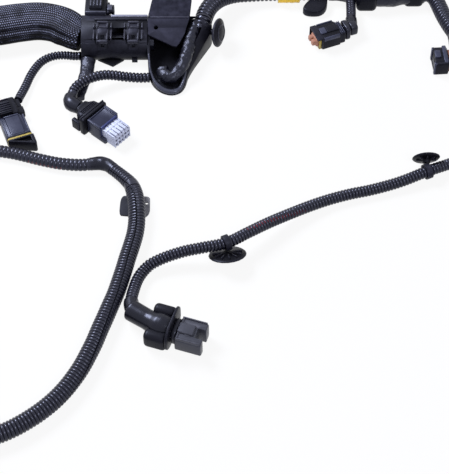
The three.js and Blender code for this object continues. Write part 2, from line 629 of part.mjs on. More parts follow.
add('multiway_housing', join(
  block(housingStart, HOUSING_LENGTH, MULTIWAY_WIDTH, MULTIWAY_HEIGHT, 2.5, 1.5),
  block(housingStart + 4, HOUSING_LENGTH - 4 + TRAY_LENGTH, MULTIWAY_WIDTH, 8.5, 2.5, 0.4),
  block(housingStart, HOUSING_LENGTH - 1, 2.4, 3, 0.8, MULTIWAY_HEIGHT - 0.5, MULTIWAY_WIDTH / 2 - 2.5, 0.4),
  block(housingStart, HOUSING_LENGTH - 1, 2.4, 3, 0.8, MULTIWAY_HEIGHT - 0.5, 2.5 - MULTIWAY_WIDTH / 2, 0.4),
), 'greyMoulded', multiway);
const trayCut = box(insertStart - 1, insertStart + TRAY_LENGTH + GAP, -MULTIWAY_WIDTH, MULTIWAY_WIDTH, 0, 8.9 + GAP);
const CAVITIES = 5;
const CAVITY = 2.7;
const CAVITY_PITCH = 4.4;
const insertCuts = [];
for (let k = 0; k < CAVITIES; k += 1) {
  const y = (k - (CAVITIES - 1) / 2) * CAVITY_PITCH;
  const tip = insertStart + INSERT_LENGTH;
  insertCuts.push(box(tip - 6, tip + 1, y - CAVITY / 2, y + CAVITY / 2, 5.2, 5.2 + CAVITY));
  insertCuts.push(box(tip - 6, tip + 1, y - CAVITY / 2, y + CAVITY / 2, 11, 11 + CAVITY));
  insertCuts.push(box(tip - 9, tip + 1, y - 0.6, y + 0.6, 16.2, 20));
}
add('multiway_insert', cut(
  block(insertStart, INSERT_LENGTH, MULTIWAY_WIDTH - 5, 15.6, 2, 2.6), trayCut, ...insertCuts), 'insert', multiway);

// Left plug with a yellow seal, flat on the ground beside the left conduit
const leftPlug = frameAt(-110.7, -94.7, -68.5);
const LEFT_PLUG_HEIGHT = 14;
add('left_plug_lock', join(
  block(-10, 23, 26, LEFT_PLUG_HEIGHT + 1, 3, 0.2, -2.5),
  block(-4, 17, 15, LEFT_PLUG_HEIGHT + 4, 2, 0.2, -4),
  block(-8.5, 11, 12, 11, 2, 0.4, 9.5),
  block(4, 9, 10, 10, 1.5, 2.6, 11.3)), 'moulded', leftPlug);
add('left_plug_housing', join(
  loft([rectRing(13 + GAP, 21, 12.5, 2, 6.9, -1.8), rectRing(18, 24, LEFT_PLUG_HEIGHT, 2, 7.4, -0.6),
    rectRing(44, 27, LEFT_PLUG_HEIGHT, 2, 7.4, 0.6)]),
  block(17, 26, 15, 3, 1, LEFT_PLUG_HEIGHT - 1.2, 0.2, 0.5)), 'greyMoulded', leftPlug);
add('left_plug_seal', block(44 + GAP, 2.6, 27, LEFT_PLUG_HEIGHT - 0.4, 2.5, 0.4, 0.8, 0.6), 'yellow', leftPlug);
const shroudStart = 46.9 + GAP;
const shroudPlan = new THREE.Shape([
  new THREE.Vector2(shroudStart, -12.5), new THREE.Vector2(shroudStart + 1.2, -12.5),
  new THREE.Vector2(shroudStart + 8.4, 3), new THREE.Vector2(shroudStart + 13.6, 13.2),
  new THREE.Vector2(shroudStart + 12.4, 15.2), new THREE.Vector2(shroudStart, 15.2),
]);
const shroudBody = new THREE.ExtrudeGeometry(shroudPlan, { depth: LEFT_PLUG_HEIGHT, bevelEnabled: false })
  .translate(0, 0, 0.4);
const shroudMouth = new THREE.ExtrudeGeometry(new THREE.Shape([
  new THREE.Vector2(shroudStart + 1.6, -8), new THREE.Vector2(shroudStart + 5.6, 2),
  new THREE.Vector2(shroudStart + 10, 11.4), new THREE.Vector2(shroudStart + 1.6, 11.4),
]), { depth: 12, bevelEnabled: false }).translate(0, 0, 9.6);
add('left_plug_shroud', cut(shroudBody, shroudMouth), 'moulded', leftPlug);

// Yoke plug: boot, elbow, oval flange, seal ring and forked housing
const yoke = frameAt(62, -374, -18);
const YOKE_AXIS_Z = 12.6;
const BOOT_RADIUS = 10.3;
const bootDirection = [0.81, -0.585, 0.03];
add('yoke_plug_boot', join(
  turned([[0, 0], [0, BOOT_RADIUS - 1], [1.5, BOOT_RADIUS], [34, BOOT_RADIUS + 0.4], [34, 0]], [30.8, -353.6, 11],
    bootDirection, 24),
  turned([[0, 0], [0, RIGHT_OD / 2 + 1], [11, RIGHT_OD / 2 + 2.4], [11, 0]], [30.4, -343.4, 9.8],
    [0, -0.98, 0.08], 18),
  turned([[-7, 0], [-7, 8], [-4, 11], [2, 12.3], [8, 11.6], [8, 0]].map(([along, radius]) => [along, radius]),
    [62, -374, YOKE_AXIS_Z], [Math.cos(Math.PI / 10), -Math.sin(Math.PI / 10), 0], 28)), 'rubber');
const flangePlateStart = 8 + GAP;
const FLANGE_WIDTH = 42;
const FLANGE_HEIGHT = 31;
const FLANGE_CORNER = 12;
const FLANGE_THICKNESS = 2.6;
const FLANGE_LOBE_TOP = 22;
const elbowBore = turned([[-30, 0], [-30, 12.9], [flangePlateStart, 12.9], [flangePlateStart, 0]],
  [0, 0, YOKE_AXIS_Z], [1, 0, 0], 28);
add('yoke_plug_flange', join(
  block(flangePlateStart, FLANGE_THICKNESS, FLANGE_WIDTH, FLANGE_HEIGHT, FLANGE_CORNER, 0.2, -0.5, 0.6),
  cut(block(-5, flangePlateStart + 6, FLANGE_WIDTH - 2, FLANGE_HEIGHT - 2, FLANGE_CORNER, 0.7, -0.5), elbowBore,
    box(-30, flangePlateStart, -30, 30, FLANGE_LOBE_TOP, 40)),
), 'moulded', yoke);
const yokeSealStart = flangePlateStart + FLANGE_THICKNESS + GAP;
add('yoke_plug_seal', block(yokeSealStart, 4.6, 24, 20, 8, 3.2, -1), 'rubber', yoke);
const yokeStart = yokeSealStart + 4.6 + GAP;
const YOKE_LENGTH = 26;
const YOKE_WIDTH = 27;
const YOKE_NOTCH = 11;
const YOKE_NOTCH_DEPTH = 8;
const YOKE_MIDDLE = -1.8;
add('yoke_plug_housing', cut(
  join(
    block(yokeStart, YOKE_LENGTH, YOKE_WIDTH, 20.5, 4, 1.5, YOKE_MIDDLE),
    block(yokeStart, YOKE_LENGTH - 10, 12, 4, 1.5, 20, YOKE_MIDDLE)),
  box(yokeStart + YOKE_LENGTH - YOKE_NOTCH_DEPTH, yokeStart + YOKE_LENGTH + 1, YOKE_MIDDLE - 1 - YOKE_NOTCH / 2,
    YOKE_MIDDLE - 1 + YOKE_NOTCH / 2, -1, 40)), 'greyMoulded', yoke);

// Two-pin plug at the end of a short lead
add('two_pin_lead', tube([[262, 66.4, 9.4], [261.8, 56, 9], [261.5, 48, 9.2], [261, 40.4, 9.3]], LEAD_OD, 8, 12),
  'braid');
add('two_pin_boot', taperedTube(
  [[261, 39.6, 9.3], [260.8, 32.5, 9.4], [258.6, 26.2, 9.4], [254.8, 22.4, 9.4], [251, 20.8, 9.4]],
  [[0, LEAD_OD / 2 + 0.8], [0.5, 7.2], [1, 6.8]], 8, 16), 'rubber');
const twoPin = frameAt(250.2, 20.3, 202);
add('two_pin_collar', block(0, 6, 20, 16.5, 3, 0.2), 'moulded', twoPin);
add('two_pin_housing', join(
  block(6 + GAP, 22, 23, 18, 3, 0.2),
  block(6 + GAP, 14, 9, 4, 1.5, 16)), 'moulded', twoPin);
const twoPinFront = 28 + 2 * GAP;
const sealRing = new THREE.Shape(roundedRect(21, 16, 3, 9.2).getPoints(3));
sealRing.holes.push(roundedRect(15, 11, 2, 9.2));
add('two_pin_seal', alongX(sealRing, twoPinFront, twoPinFront + 3), 'yellow', twoPin);
add('two_pin_insert', join(
  block(twoPinFront, 6, 14.2, 10.2, 1.5, 4.1),
  block(twoPinFront + 3, 7, 5.6, 7, 2, 5.7, -3.6),
  block(twoPinFront + 3, 7, 5.6, 7, 2, 5.7, 3.6)), 'amber', twoPin);

// Edge plug, partly past the picture's right side
add('edge_plug_lead', tube(edgeLeadRoute, EDGE_LEAD_OD, 14, 12), 'conduit');
add('edge_plug_boot', join(
  turned([[0, 0], [0, 8.9], [42, 8.9], [42, 0]], [375.3, 8.4, 9.8], [0, -1, 0], 20),
  turned([[0, 0], [0, 8.2], [13, 9], [13, 0]], [366.1, -24.9, 10], [1, 0.07, 0], 20)), 'rubber');
const edgePlug = frameAt(365.6, -25, 184);
add('edge_plug_ring', block(0.2, 3, 22, 16, 4, 2), 'amber', edgePlug);
const edgeGroove = new THREE.Shape(roundedRect(19, 13, 3, 10).getPoints(3));
edgeGroove.holes.push(roundedRect(13, 8, 2, 10));
add('edge_plug_shroud', cut(
  block(3.2 + GAP, 15, 26, 20, 4, 0.2),
  alongX(edgeGroove, 8, 30)), 'moulded', edgePlug);

// Umbrella clips on the right conduit: a disc on fins, and a strap round the conduit
function umbrella(prefix, discCentre, hold, discDiameter, axis) {
  const centre = new THREE.Vector3(...discCentre);
  const toConduit = new THREE.Vector3(...hold).sub(centre);
  const rise = toConduit.length();
  const strapRadius = RIGHT_OD / 2 + STRAP_WALL + 2 * GAP;
  const seat = rise - strapRadius - 2 * GAP;
  const rim = discDiameter / 2;
  const disc = turned([
    [-1, 0], [-1, rim * 0.55], [0, rim - 0.6], [0.7, rim], [CLIP_DISC_THICKNESS, rim - 1.5],
    [CLIP_DISC_THICKNESS + 1, rim * 0.5], [CLIP_DISC_THICKNESS + 2.2, 4.6], [seat, 3.6], [seat, 0],
  ], discCentre, toConduit.toArray(), 20);
  add(`${prefix}_disc`, disc, 'moulded');
  const along = new THREE.Vector3(...axis).normalize().multiplyScalar(CLIP_STRAP / 2);
  const ends = [-1, 0, 1].map((side) => new THREE.Vector3(...hold).addScaledVector(along, side).toArray());
  add(`${prefix}_strap`, cut(
    tube(ends, 2 * strapRadius, 3, 16), tube(rightRoute, RIGHT_OD + 4 * GAP, 18, 16)), 'moulded');
}
umbrella('front_clip', [123, -287, 8.6], [122, -280.5, 20.5], CLIP_DISC, [1, 0.42, 0.05]);
umbrella('side_clip', [327.4, -166.2, 14.6], [328, -181, 9.8], SMALL_CLIP_DISC, [1, 0.45, 0]);

// Plate clip under the main conduit
const plateShape = new THREE.Shape();
plateShape.moveTo(-12, -13);
plateShape.lineTo(9, -13);
plateShape.bezierCurveTo(14, -13, 16, -9, 16, -3);
plateShape.lineTo(14, 11);
plateShape.bezierCurveTo(13, 13, 12, 13.5, 10, 13.5);
plateShape.lineTo(-11, 12);
plateShape.bezierCurveTo(-15, 12, -16, 8, -15, -2);
plateShape.bezierCurveTo(-14.5, -9, -14, -12, -12, -13);
plateShape.holes.push(new THREE.Path().absarc(11.5, 5, 1.7, 0, 2 * Math.PI, true));
const clipPlate = new THREE.ExtrudeGeometry(plateShape, { depth: 1.9, bevelEnabled: false, curveSegments: 5 });
add('plate_clip', clipPlate.rotateZ(-0.12).translate(29, -220, 0.1), 'greyMoulded');

// Plain connectors on the ends that lie outside the picture
function endConnector(name, route, diameter, width, height) {
  const [before, last] = points(route.slice(-2));
  const along = last.clone().sub(before).setZ(0).normalize();
  const heading = THREE.MathUtils.radToDeg(Math.atan2(along.y, along.x));
  const place = last.clone().addScaledVector(along, GAP + 0.2);
  const end = frameAt(place.x, place.y, heading);
  const middle = height / 2 + 0.2;
  const neck = diameter / 2 + 0.6;
  add(name, join(
    turned([[0, 0], [0, neck - 0.6], [2, neck], [14, neck + 1], [14, 0]], [0, 0, neck + 1.2], [1, 0, 0], 16),
    block(12, 28, width, height, 3, 0.2),
    block(17, 6, width + 4, height + 2, 3, 0.2),
    alongX(roundedRect(width - 8, 3, 1, middle + height / 2 + 1.3), 24, 38)), 'moulded', end);
}
endConnector('main_end_connector', mainRoute, MAIN_OD, 30, 22);
endConnector('right_end_connector', rightRoute, RIGHT_OD, 24, 18);

export default harness;
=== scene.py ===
# %% [markdown]
# # A wiring harness
# A harness carries the wires of a vehicle in one bundle, and lets them out where each device sits. This one has a
# braided trunk, a moulded duct that the bundle runs through, a scoop at the duct's end, ribbed conduits, and plugs.
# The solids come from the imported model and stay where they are: this script gives them their looks, and puts
# detailed pieces in the places of the plainest solids. Everything is in metres, and the floor is at Z = 0.

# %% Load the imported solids
import json
import math

import bmesh
import bpy
from mathutils import Matrix, Vector, noise


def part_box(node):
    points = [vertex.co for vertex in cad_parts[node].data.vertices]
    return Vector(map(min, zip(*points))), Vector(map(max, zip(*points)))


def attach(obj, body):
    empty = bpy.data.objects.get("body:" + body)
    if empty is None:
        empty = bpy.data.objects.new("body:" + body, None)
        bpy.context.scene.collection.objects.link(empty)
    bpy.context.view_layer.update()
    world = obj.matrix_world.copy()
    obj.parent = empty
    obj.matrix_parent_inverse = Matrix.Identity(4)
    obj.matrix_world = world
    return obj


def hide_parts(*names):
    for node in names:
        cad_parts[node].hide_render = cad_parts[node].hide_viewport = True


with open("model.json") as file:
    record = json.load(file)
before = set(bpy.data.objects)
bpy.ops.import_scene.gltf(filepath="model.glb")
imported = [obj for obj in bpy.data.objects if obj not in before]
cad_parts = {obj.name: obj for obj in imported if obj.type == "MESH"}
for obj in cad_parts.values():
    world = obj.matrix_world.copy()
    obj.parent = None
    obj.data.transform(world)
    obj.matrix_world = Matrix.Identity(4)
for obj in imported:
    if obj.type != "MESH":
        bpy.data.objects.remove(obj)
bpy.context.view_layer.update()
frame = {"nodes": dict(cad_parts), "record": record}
nodes = frame["nodes"]
MM = 0.001
print("solids:", len(nodes))

# %% [markdown]
# The camera comes first. The harness was laid on a table and seen from a steep angle, about 53 degrees above the
# table, from well back, so that near and far parts have almost the same scale. A long lens 1.5 m away gives that.

# %% Camera
LOOK_DOWN = math.radians(53)
CAMERA_DISTANCE = 1.5
AIM = Vector((0.12, -0.258, 0.0))
FOCAL_SHARE = 1500 / 474
SENSOR = 36.0

camera = bpy.data.objects.new("camera", bpy.data.cameras.new("camera"))
bpy.context.scene.collection.objects.link(camera)
camera.data.sensor_width = SENSOR
camera.data.lens = SENSOR * FOCAL_SHARE
camera.location = AIM + CAMERA_DISTANCE * Vector((0, -math.cos(LOOK_DOWN), math.sin(LOOK_DOWN)))
camera.rotation_euler = (math.pi / 2 - LOOK_DOWN, 0, 0)
bpy.context.scene.camera = camera
print("lens:", round(camera.data.lens, 1), "mm")

# %% [markdown]
# A conduit lies along a smooth curve through a few points. The points below are the same ones that the solids
# follow, in millimetres. A Catmull-Rom curve passes through every point, so the looks and the solids agree.

# %% Routes of the conduits
LEFT_ROUTE = [
    (-172, -3, 14), (-174, -15, 11), (-180, -30, 7.5), (-188, -46, 6.6), (-190, -64, 6.6), (-187, -86, 6.6),
    (-178, -108, 6.6), (-163, -128, 6.6), (-141, -143, 6.6), (-114, -151, 6.6), (-100, -154, 6.6),
    (-86, -158, 6.6), (-70, -163, 6.6), (-50, -168, 6.6), (-30, -170, 6.7), (-17.2, -169.3, 7.2),
]
MAIN_ROUTE = [
    (5.8, -177, 8), (12.5, -183.7, 8.6), (20.4, -193, 10), (26, -202, 11), (30, -216.5, 11.6), (31.8, -232, 11.4),
    (32.2, -247, 9.6), (31, -261, 8.9), (28.1, -275.8, 8.9), (24.7, -290.5, 8.9), (21.7, -305, 8.9),
    (18.4, -319.3, 8.9), (14.9, -333.5, 8.9), (10.4, -347.5, 8.9), (6, -361.4, 8.9), (1.5, -375.1, 8.9),
    (-2.6, -388.6, 8.9), (-7.5, -402, 8.9), (-12.8, -415.2, 8.9), (-19.5, -428.3, 8.9), (-27.5, -441.2, 8.9),
    (-37.7, -454, 8.9), (-50.9, -466.7, 8.9), (-67.7, -479.2, 8.9), (-82.8, -487.4, 8.9), (-100, -494, 8.9),
    (-114, -498, 8.9),
]
RIGHT_ROUTE = [
    (30.4, -342.6, 9.6), (30.8, -336, 8.8), (32, -328, 7.2), (34.6, -317, 6.3), (38, -309, 6.3), (43, -302, 7),
    (49.5, -297, 9), (63, -291.5, 12), (81, -287.5, 16), (98, -285.5, 19), (122, -280.5, 20.5), (144, -266, 18.5),
    (164, -251.5, 15), (185, -237.5, 11), (206, -225, 8), (227, -215, 6.4), (248, -208, 6.2), (268, -203, 6.2),
    (289, -196.5, 6.6), (305, -191, 8), (328, -181, 9.8), (351, -170, 8), (372, -160, 6.4), (392, -153, 6.2),
]
THIN_ROUTE = [
    (-37.4, -15.8, 7.4), (-45, -14.4, 5.8), (-54, -12.5, 4.9), (-64, -13, 4.9), (-73, -16.5, 4.9),
    (-80.5, -23, 4.9), (-86, -32.5, 4.9), (-90.5, -44, 4.9), (-93.5, -55.5, 4.9), (-96.3, -66, 5.6),
    (-98.6, -74, 6.6), (-100.2, -80.6, 7.2),
]
SIDE_ROUTE = [
    (39, -47.5, 7), (28, -47.5, 6.6), (13, -47.3, 8), (1, -48.5, 11.5), (-10, -51, 14.5), (-22, -56, 16),
    (-32.5, -62.5, 15.8), (-39.5, -70, 14.5), (-42.5, -78.5, 13),
]
UPPER_ROUTE = [
    (96.5, 22, 23), (100, 36, 23), (106.5, 50, 21.5), (117, 63, 18.5), (132, 72.5, 15), (150, 77.5, 12),
    (171, 79.4, 11.5), (194, 80.2, 11.5), (217, 80.6, 11.5), (237, 81, 11.3),
]


STEPS_BETWEEN = 24


def smooth_route(route, step):
    """Points about `step` metres apart on a smooth curve through a route given in millimetres."""
    corners = [Vector(p) * MM for p in route]
    corners = [2 * corners[0] - corners[1]] + corners + [2 * corners[-1] - corners[-2]]
    dense = []
    for a, b, c, d in zip(corners, corners[1:], corners[2:], corners[3:]):
        for k in range(STEPS_BETWEEN):
            t = k / STEPS_BETWEEN
            dense.append(0.5 * (2 * b + (c - a) * t + (2 * a - 5 * b + 4 * c - d) * t ** 2
                                + (3 * b - 3 * c + d - a) * t ** 3))
    dense.append(corners[-2])
    travelled = [0.0]
    for p, q in zip(dense, dense[1:]):
        travelled.append(travelled[-1] + (q - p).length)
    count = max(2, round(travelled[-1] / step))
    spaced, k = [], 0
    for i in range(count + 1):
        wanted = travelled[-1] * i / count
        while k < len(dense) - 2 and travelled[k + 1] < wanted:
            k += 1
        share = (wanted - travelled[k]) / (travelled[k + 1] - travelled[k])
        spaced.append(dense[k].lerp(dense[k + 1], min(1.0, share)))
    return spaced, travelled[-1]


print("main conduit:", round(smooth_route(MAIN_ROUTE, 0.002)[1], 3), "m")

# %% [markdown]
# Each finish is a node material. Effects that many finishes share are node groups, built once: a mottled grain,
# edges that are lighter, partly from wear and partly as a painted highlight, and dust on faces that look up. A small
# helper makes a node and links its inputs, so that a material reads as a short recipe.

# %% Helpers for nodes
def feed(tree, socket, value):
    """Links a socket to another node's output, or gives it a plain value."""
    if isinstance(value, bpy.types.NodeSocket):
        tree.links.new(value, socket)
    else:
        socket.default_value = value


def make_node(tree, kind, inputs=None, **settings):
    """A node of one kind, with its settings and its inputs."""
    made = tree.nodes.new(kind)
    for name, value in settings.items():
        setattr(made, name, value)
    for name, value in (inputs or {}).items():
        feed(tree, made.inputs[name], value)
    return made


def math_node(tree, operation, *values, clamp=False):
    return make_node(tree, "ShaderNodeMath", dict(enumerate(values)), operation=operation, use_clamp=clamp).outputs[0]


def times(tree, first, second, clamp=False):
    return math_node(tree, "MULTIPLY", first, second, clamp=clamp)


def mix_colors(tree, share, first, second):
    """In a Mix node for colours, input 0 is the share, 6 and 7 are the colours, and output 2 is the result."""
    return make_node(tree, "ShaderNodeMix", {0: share, 6: first, 7: second}, data_type="RGBA").outputs[2]


def remap(tree, value, low, high):
    """0 where the value is `low`, and 1 where it is `high`."""
    return make_node(tree, "ShaderNodeMapRange", {"Value": value, "From Min": low, "From Max": high}).outputs[0]


def own_place(tree):
    return make_node(tree, "ShaderNodeTexCoord").outputs["Object"]


def part_of(tree, vector, axis):
    return make_node(tree, "ShaderNodeSeparateXYZ", {"Vector": vector}).outputs[axis]


def noise_on(tree, scale, **inputs):
    return make_node(tree, "ShaderNodeTexNoise", {"Vector": own_place(tree), "Scale": scale, **inputs}).outputs[0]


def facing_up(tree):
    return part_of(tree, make_node(tree, "ShaderNodeNewGeometry").outputs["Normal"], "Z")


def carried(tree, name):
    """A value that the mesh carries in an attribute."""
    return make_node(tree, "ShaderNodeAttribute", attribute_name=name).outputs["Fac"]


# %% Helpers for node groups
def new_group(name, inputs, outputs):
    """An empty shader node group with number sockets, and its two end nodes."""
    group = bpy.data.node_groups.new(name, "ShaderNodeTree")
    for label, value in inputs.items():
        group.interface.new_socket(label, in_out="INPUT", socket_type="NodeSocketFloat").default_value = value
    for label in outputs:
        group.interface.new_socket(label, in_out="OUTPUT", socket_type="NodeSocketFloat")
    return group, group.nodes.new("NodeGroupInput"), group.nodes.new("NodeGroupOutput")


def place_group(tree, group, **inputs):
    """Puts a group in a tree with its own values, and gives its outputs."""
    return make_node(tree, "ShaderNodeGroup", inputs, node_tree=group).outputs


# %% Shared effects: mottled grain, worn edges with a painted highlight, dust
grain_group, grain_in, grain_out = new_group("mottled_grain", {"Scale": 400.0, "Coarse": 60.0}, ["Mottle", "Height"])
grain_fine = noise_on(grain_group, grain_in.outputs["Scale"], Detail=4.0)
grain_coarse = noise_on(grain_group, grain_in.outputs["Coarse"], Detail=3.0)
grain_height = math_node(grain_group, "ADD", grain_fine, times(grain_group, grain_coarse, 0.5))
grain_group.links.new(grain_coarse, grain_out.inputs["Mottle"])
grain_group.links.new(grain_height, grain_out.inputs["Height"])


def mask_group(name, amount, mask_of):
    """A group with one number in and one mask out: the product of two masks and the amount."""
    group, inner, outer = new_group(name, {"Amount": amount}, ["Mask"])
    both = times(group, *mask_of(group))
    mask = times(group, both, inner.outputs["Amount"], clamp=True)
    group.links.new(mask, outer.inputs["Mask"])
    return group


def sharp_places(tree):
    bend = make_node(tree, "ShaderNodeNewGeometry").outputs["Pointiness"]
    return remap(tree, bend, 0.51, 0.62), noise_on(tree, 180.0)


def level_places(tree):
    return remap(tree, facing_up(tree), 0.3, 1.0), noise_on(tree, 900.0, Detail=2.0)


# The edge mask stands for both wear and a painted highlight on sharp edges.
edge_wear_and_highlight_group = mask_group("edge_wear_and_painted_highlight", 1.0, sharp_places)
dust_group = mask_group("dust_on_top", 0.2, level_places)
print("node groups:", [g.name for g in bpy.data.node_groups])

# %% [markdown]
# The moulded parts are filled nylon, nearly black with a blue cast where the light skims them. Moulded plastic is
# a dark base, a satin roughness that varies a little, lighter edges that are partly wear and partly a painted
# highlight, and a trace of dust. The same recipe with other numbers gives the grey housings, the rubber boots, the
# white insert, and the coloured parts.

# %% Finishes of moulded plastic and rubber
BLUE_CAST = (0.72, 0.76, 1.0, 1)
WHITE = (1, 1, 1, 1)
DUST = (0.3, 0.3, 0.33, 1)


def new_finish(name, specular, tint=BLUE_CAST):
    """A new material, its node tree and its shader. Gloss is the same all over, so it is set on the shader."""
    material = bpy.data.materials.new(name)
    material.use_nodes = True
    shader = material.node_tree.nodes["Principled BSDF"]
    shader.inputs["Specular IOR Level"].default_value = specular
    shader.inputs["Specular Tint"].default_value = tint
    return material, material.node_tree, shader


def set_surface(tree, shader, tone, roughness, height, strength, distance):
    """Colour, roughness, and relief from a height. `distance` is the relief's depth in metres."""
    raised = make_node(tree, "ShaderNodeBump", {"Height": height, "Strength": strength, "Distance": distance})
    for label, value in (("Base Color", tone), ("Roughness", roughness), ("Normal", raised.outputs[0])):
        feed(tree, shader.inputs[label], value)


def two_tones(tree, share, base, lighter):
    """The base colour, and `lighter` times as light where the share is 1."""
    return mix_colors(tree, share, (*base, 1), (*[c * lighter for c in base], 1))


def moulded_finish(name, base, edge, roughness, bump=0.1, dust=0.05, wear_and_highlight=0.8, specular=0.5, paler=None):
    """`paler` is (axis, from, to, colour) in metres, for a piece that gets thin towards one side and is painted paler
    there, as painted light that shows through it.
    """
    material, tree, shader = new_finish(name, specular)
    grain = place_group(tree, grain_group, Scale=500.0, Coarse=70.0)
    worn_and_highlit_edges = place_group(tree, edge_wear_and_highlight_group, Amount=wear_and_highlight)["Mask"]
    dusty = place_group(tree, dust_group, Amount=dust)["Mask"]
    tone = two_tones(tree, times(tree, grain["Mottle"], 0.6), base, 1.7)
    # Painted light: paler towards one side, as if light shone through thin nylon.
    if paler:
        axis, low, high, pale = paler
        tone = mix_colors(tree, remap(tree, part_of(tree, own_place(tree), axis), low, high), tone, (*pale, 1))
    # Lighter edges: partly wear, partly a painted highlight where light would catch them.
    tone = mix_colors(tree, worn_and_highlit_edges, tone, (*edge, 1))
    tone = mix_colors(tree, dusty, tone, DUST)
    rough = math_node(tree, "MULTIPLY_ADD", grain["Mottle"], 0.22, roughness - 0.08)
    rough = math_node(tree, "ADD", rough, dusty, clamp=True)
    set_surface(tree, shader, tone, rough, grain["Height"], bump, 0.0004)
    return material


finishes = {
    "moulded": moulded_finish("black_moulding", (0.002, 0.002, 0.0034), (0.05, 0.05, 0.075), 0.36, specular=0.13,
                              dust=0.03),
    "grey_moulded": moulded_finish("grey_moulding", (0.0105, 0.0118, 0.025), (0.12, 0.13, 0.19), 0.28, specular=0.26,
                                   bump=0.04, dust=0.03),
    "rubber": moulded_finish("boot_rubber", (0.0026, 0.0026, 0.005), (0.03, 0.03, 0.045), 0.24, bump=0.06,
                             specular=0.32, dust=0.03),
    "insert": moulded_finish("white_insert", (0.42, 0.44, 0.54), (0.75, 0.77, 0.88), 0.4, dust=0.0),
    "amber": moulded_finish("brown_insert", (0.3, 0.13, 0.075), (0.62, 0.36, 0.26), 0.4, dust=0.05),
    "yellow": moulded_finish("yellow_rubber", (0.27, 0.19, 0.022), (0.62, 0.52, 0.12), 0.42, dust=0.05),
}
print("moulded finishes:", sorted(finishes))

# %% [markdown]
# A ribbed conduit is extruded black plastic, pressed into rings while warm. The crests shine and the grooves hold
# shadow, so the material paints that shadow: near-black where an attribute that the mesh carries is 1, in a groove,
# and not at all where it is 0, on a crest. A second attribute marks where a red wire shows through. Tape is glossier,
# with fine creases that run round it, and the braided sleeve is a cloth of black threads with light flecks, which are
# painted brighter on its upper side, as if lit from above.

# %% Finishes of conduit, tape and braid
CONDUIT_DUST = (0.28, 0.28, 0.32, 1)
# Painted shade: grooves and the slit are coloured near-black where shade falls in them.
GROOVE_PAINTED_SHADE = (0.0015, 0.0015, 0.003, 1)
WIRE_RED = (0.34, 0.016, 0.026, 1)


def conduit_finish(name, base, roughness, specular):
    material, tree, shader = new_finish(name, specular)
    grain = place_group(tree, grain_group, Scale=700.0, Coarse=90.0)
    dusty = place_group(tree, dust_group, Amount=0.07)["Mask"]
    groove = carried(tree, "groove")
    tone = two_tones(tree, times(tree, grain["Mottle"], 0.7), base, 1.8)
    # The grooves and the slit get painted shade, and the red wire shows in some grooves.
    for mask, color in ((dusty, CONDUIT_DUST), (groove, GROOVE_PAINTED_SHADE), (carried(tree, "red_wire"), WIRE_RED)):
        tone = mix_colors(tree, mask, tone, color)
    rough = math_node(tree, "MULTIPLY_ADD", groove, 0.3, roughness)
    rough = math_node(tree, "MULTIPLY_ADD", grain["Mottle"], 0.12, rough)
    set_surface(tree, shader, tone, rough, grain["Height"], 0.08, 0.0003)
    return material


def tape_finish(name, base, roughness, crease, specular):
    material, tree, shader = new_finish(name, specular)
    folds = noise_on(tree, 210.0, Detail=6.0, Distortion=1.2)
    wraps = make_node(tree, "ShaderNodeTexWave", {"Vector": own_place(tree), "Scale": 26.0, "Distortion": 6.0,
                                                  "Detail": 3.0, "Detail Scale": 2.0},
                      wave_type="BANDS", bands_direction="DIAGONAL").outputs["Fac"]
    height = math_node(tree, "ADD", folds, times(tree, wraps, 0.5))
    rough = math_node(tree, "MULTIPLY_ADD", folds, 0.25, roughness)
    set_surface(tree, shader, two_tones(tree, folds, base, 2.2), rough, height, crease, 0.0012)
    return material


def braid_finish(name, rows, columns_per_metre, fleck, ground):
    """A braid: black threads with light flecks in lengthwise rows, painted brighter where the faces look up, as if
    lit from above. It reads the mesh's around and along values.
    """
    material, tree, shader = new_finish(name, 0.1, WHITE)

    def off_middle(value):
        """How far a value is from the middle between two whole numbers."""
        return math_node(tree, "ABSOLUTE", math_node(tree, "SUBTRACT", math_node(tree, "FRACT", value), 0.5))

    row = times(tree, carried(tree, "around"), rows)
    column = times(tree, carried(tree, "along"), columns_per_metre)
    odd = times(tree, math_node(tree, "FLOOR", row), 0.5)
    across, down = off_middle(row), off_middle(math_node(tree, "ADD", column, odd))
    distance = math_node(tree, "SQRT", math_node(tree, "ADD", times(tree, across, across), times(tree, down, down)))
    dot = remap(tree, distance, 0.33, 0.16)
    # Painted highlight: flecks show more on faces that look up, as if lit from above, in patches of noise.
    painted_top_light = math_node(tree, "MULTIPLY_ADD", facing_up(tree), 0.35, noise_on(tree, 55.0, Detail=2.0))
    flecks_shown_by_painted_light = remap(tree, painted_top_light, 0.52, 0.86)
    tone = mix_colors(tree, times(tree, dot, flecks_shown_by_painted_light), (*ground, 1), (*fleck, 1))
    set_surface(tree, shader, tone, 0.55, math_node(tree, "SUBTRACT", 0.7, distance), 0.6, 0.0006)
    return material


finishes["conduit"] = conduit_finish("conduit_plastic", (0.006, 0.006, 0.0115), 0.15, 0.42)
finishes["tape"] = tape_finish("black_tape", (0.003, 0.003, 0.0056), 0.2, 0.48, 0.42)
finishes["braid"] = braid_finish("trunk_braid", 50, 430, (0.21, 0.225, 0.33), (0.0018, 0.0018, 0.0042))
print("all finishes:", sorted(finishes))

# %% [markdown]
# A ribbed tube is one ring that is extruded again and again along the route: out to a crest, over it, down into a
# groove, and on. Each extruded ring is moved on by the matrix from its last place to the next, so the ring keeps
# its shape, and only its size and place change. Every corner of the mesh remembers how far along and how far
# round it is, for the materials.

# %% Make a tube by extruding a ring along a route
SKY = Vector((0, -0.6, 0.8))


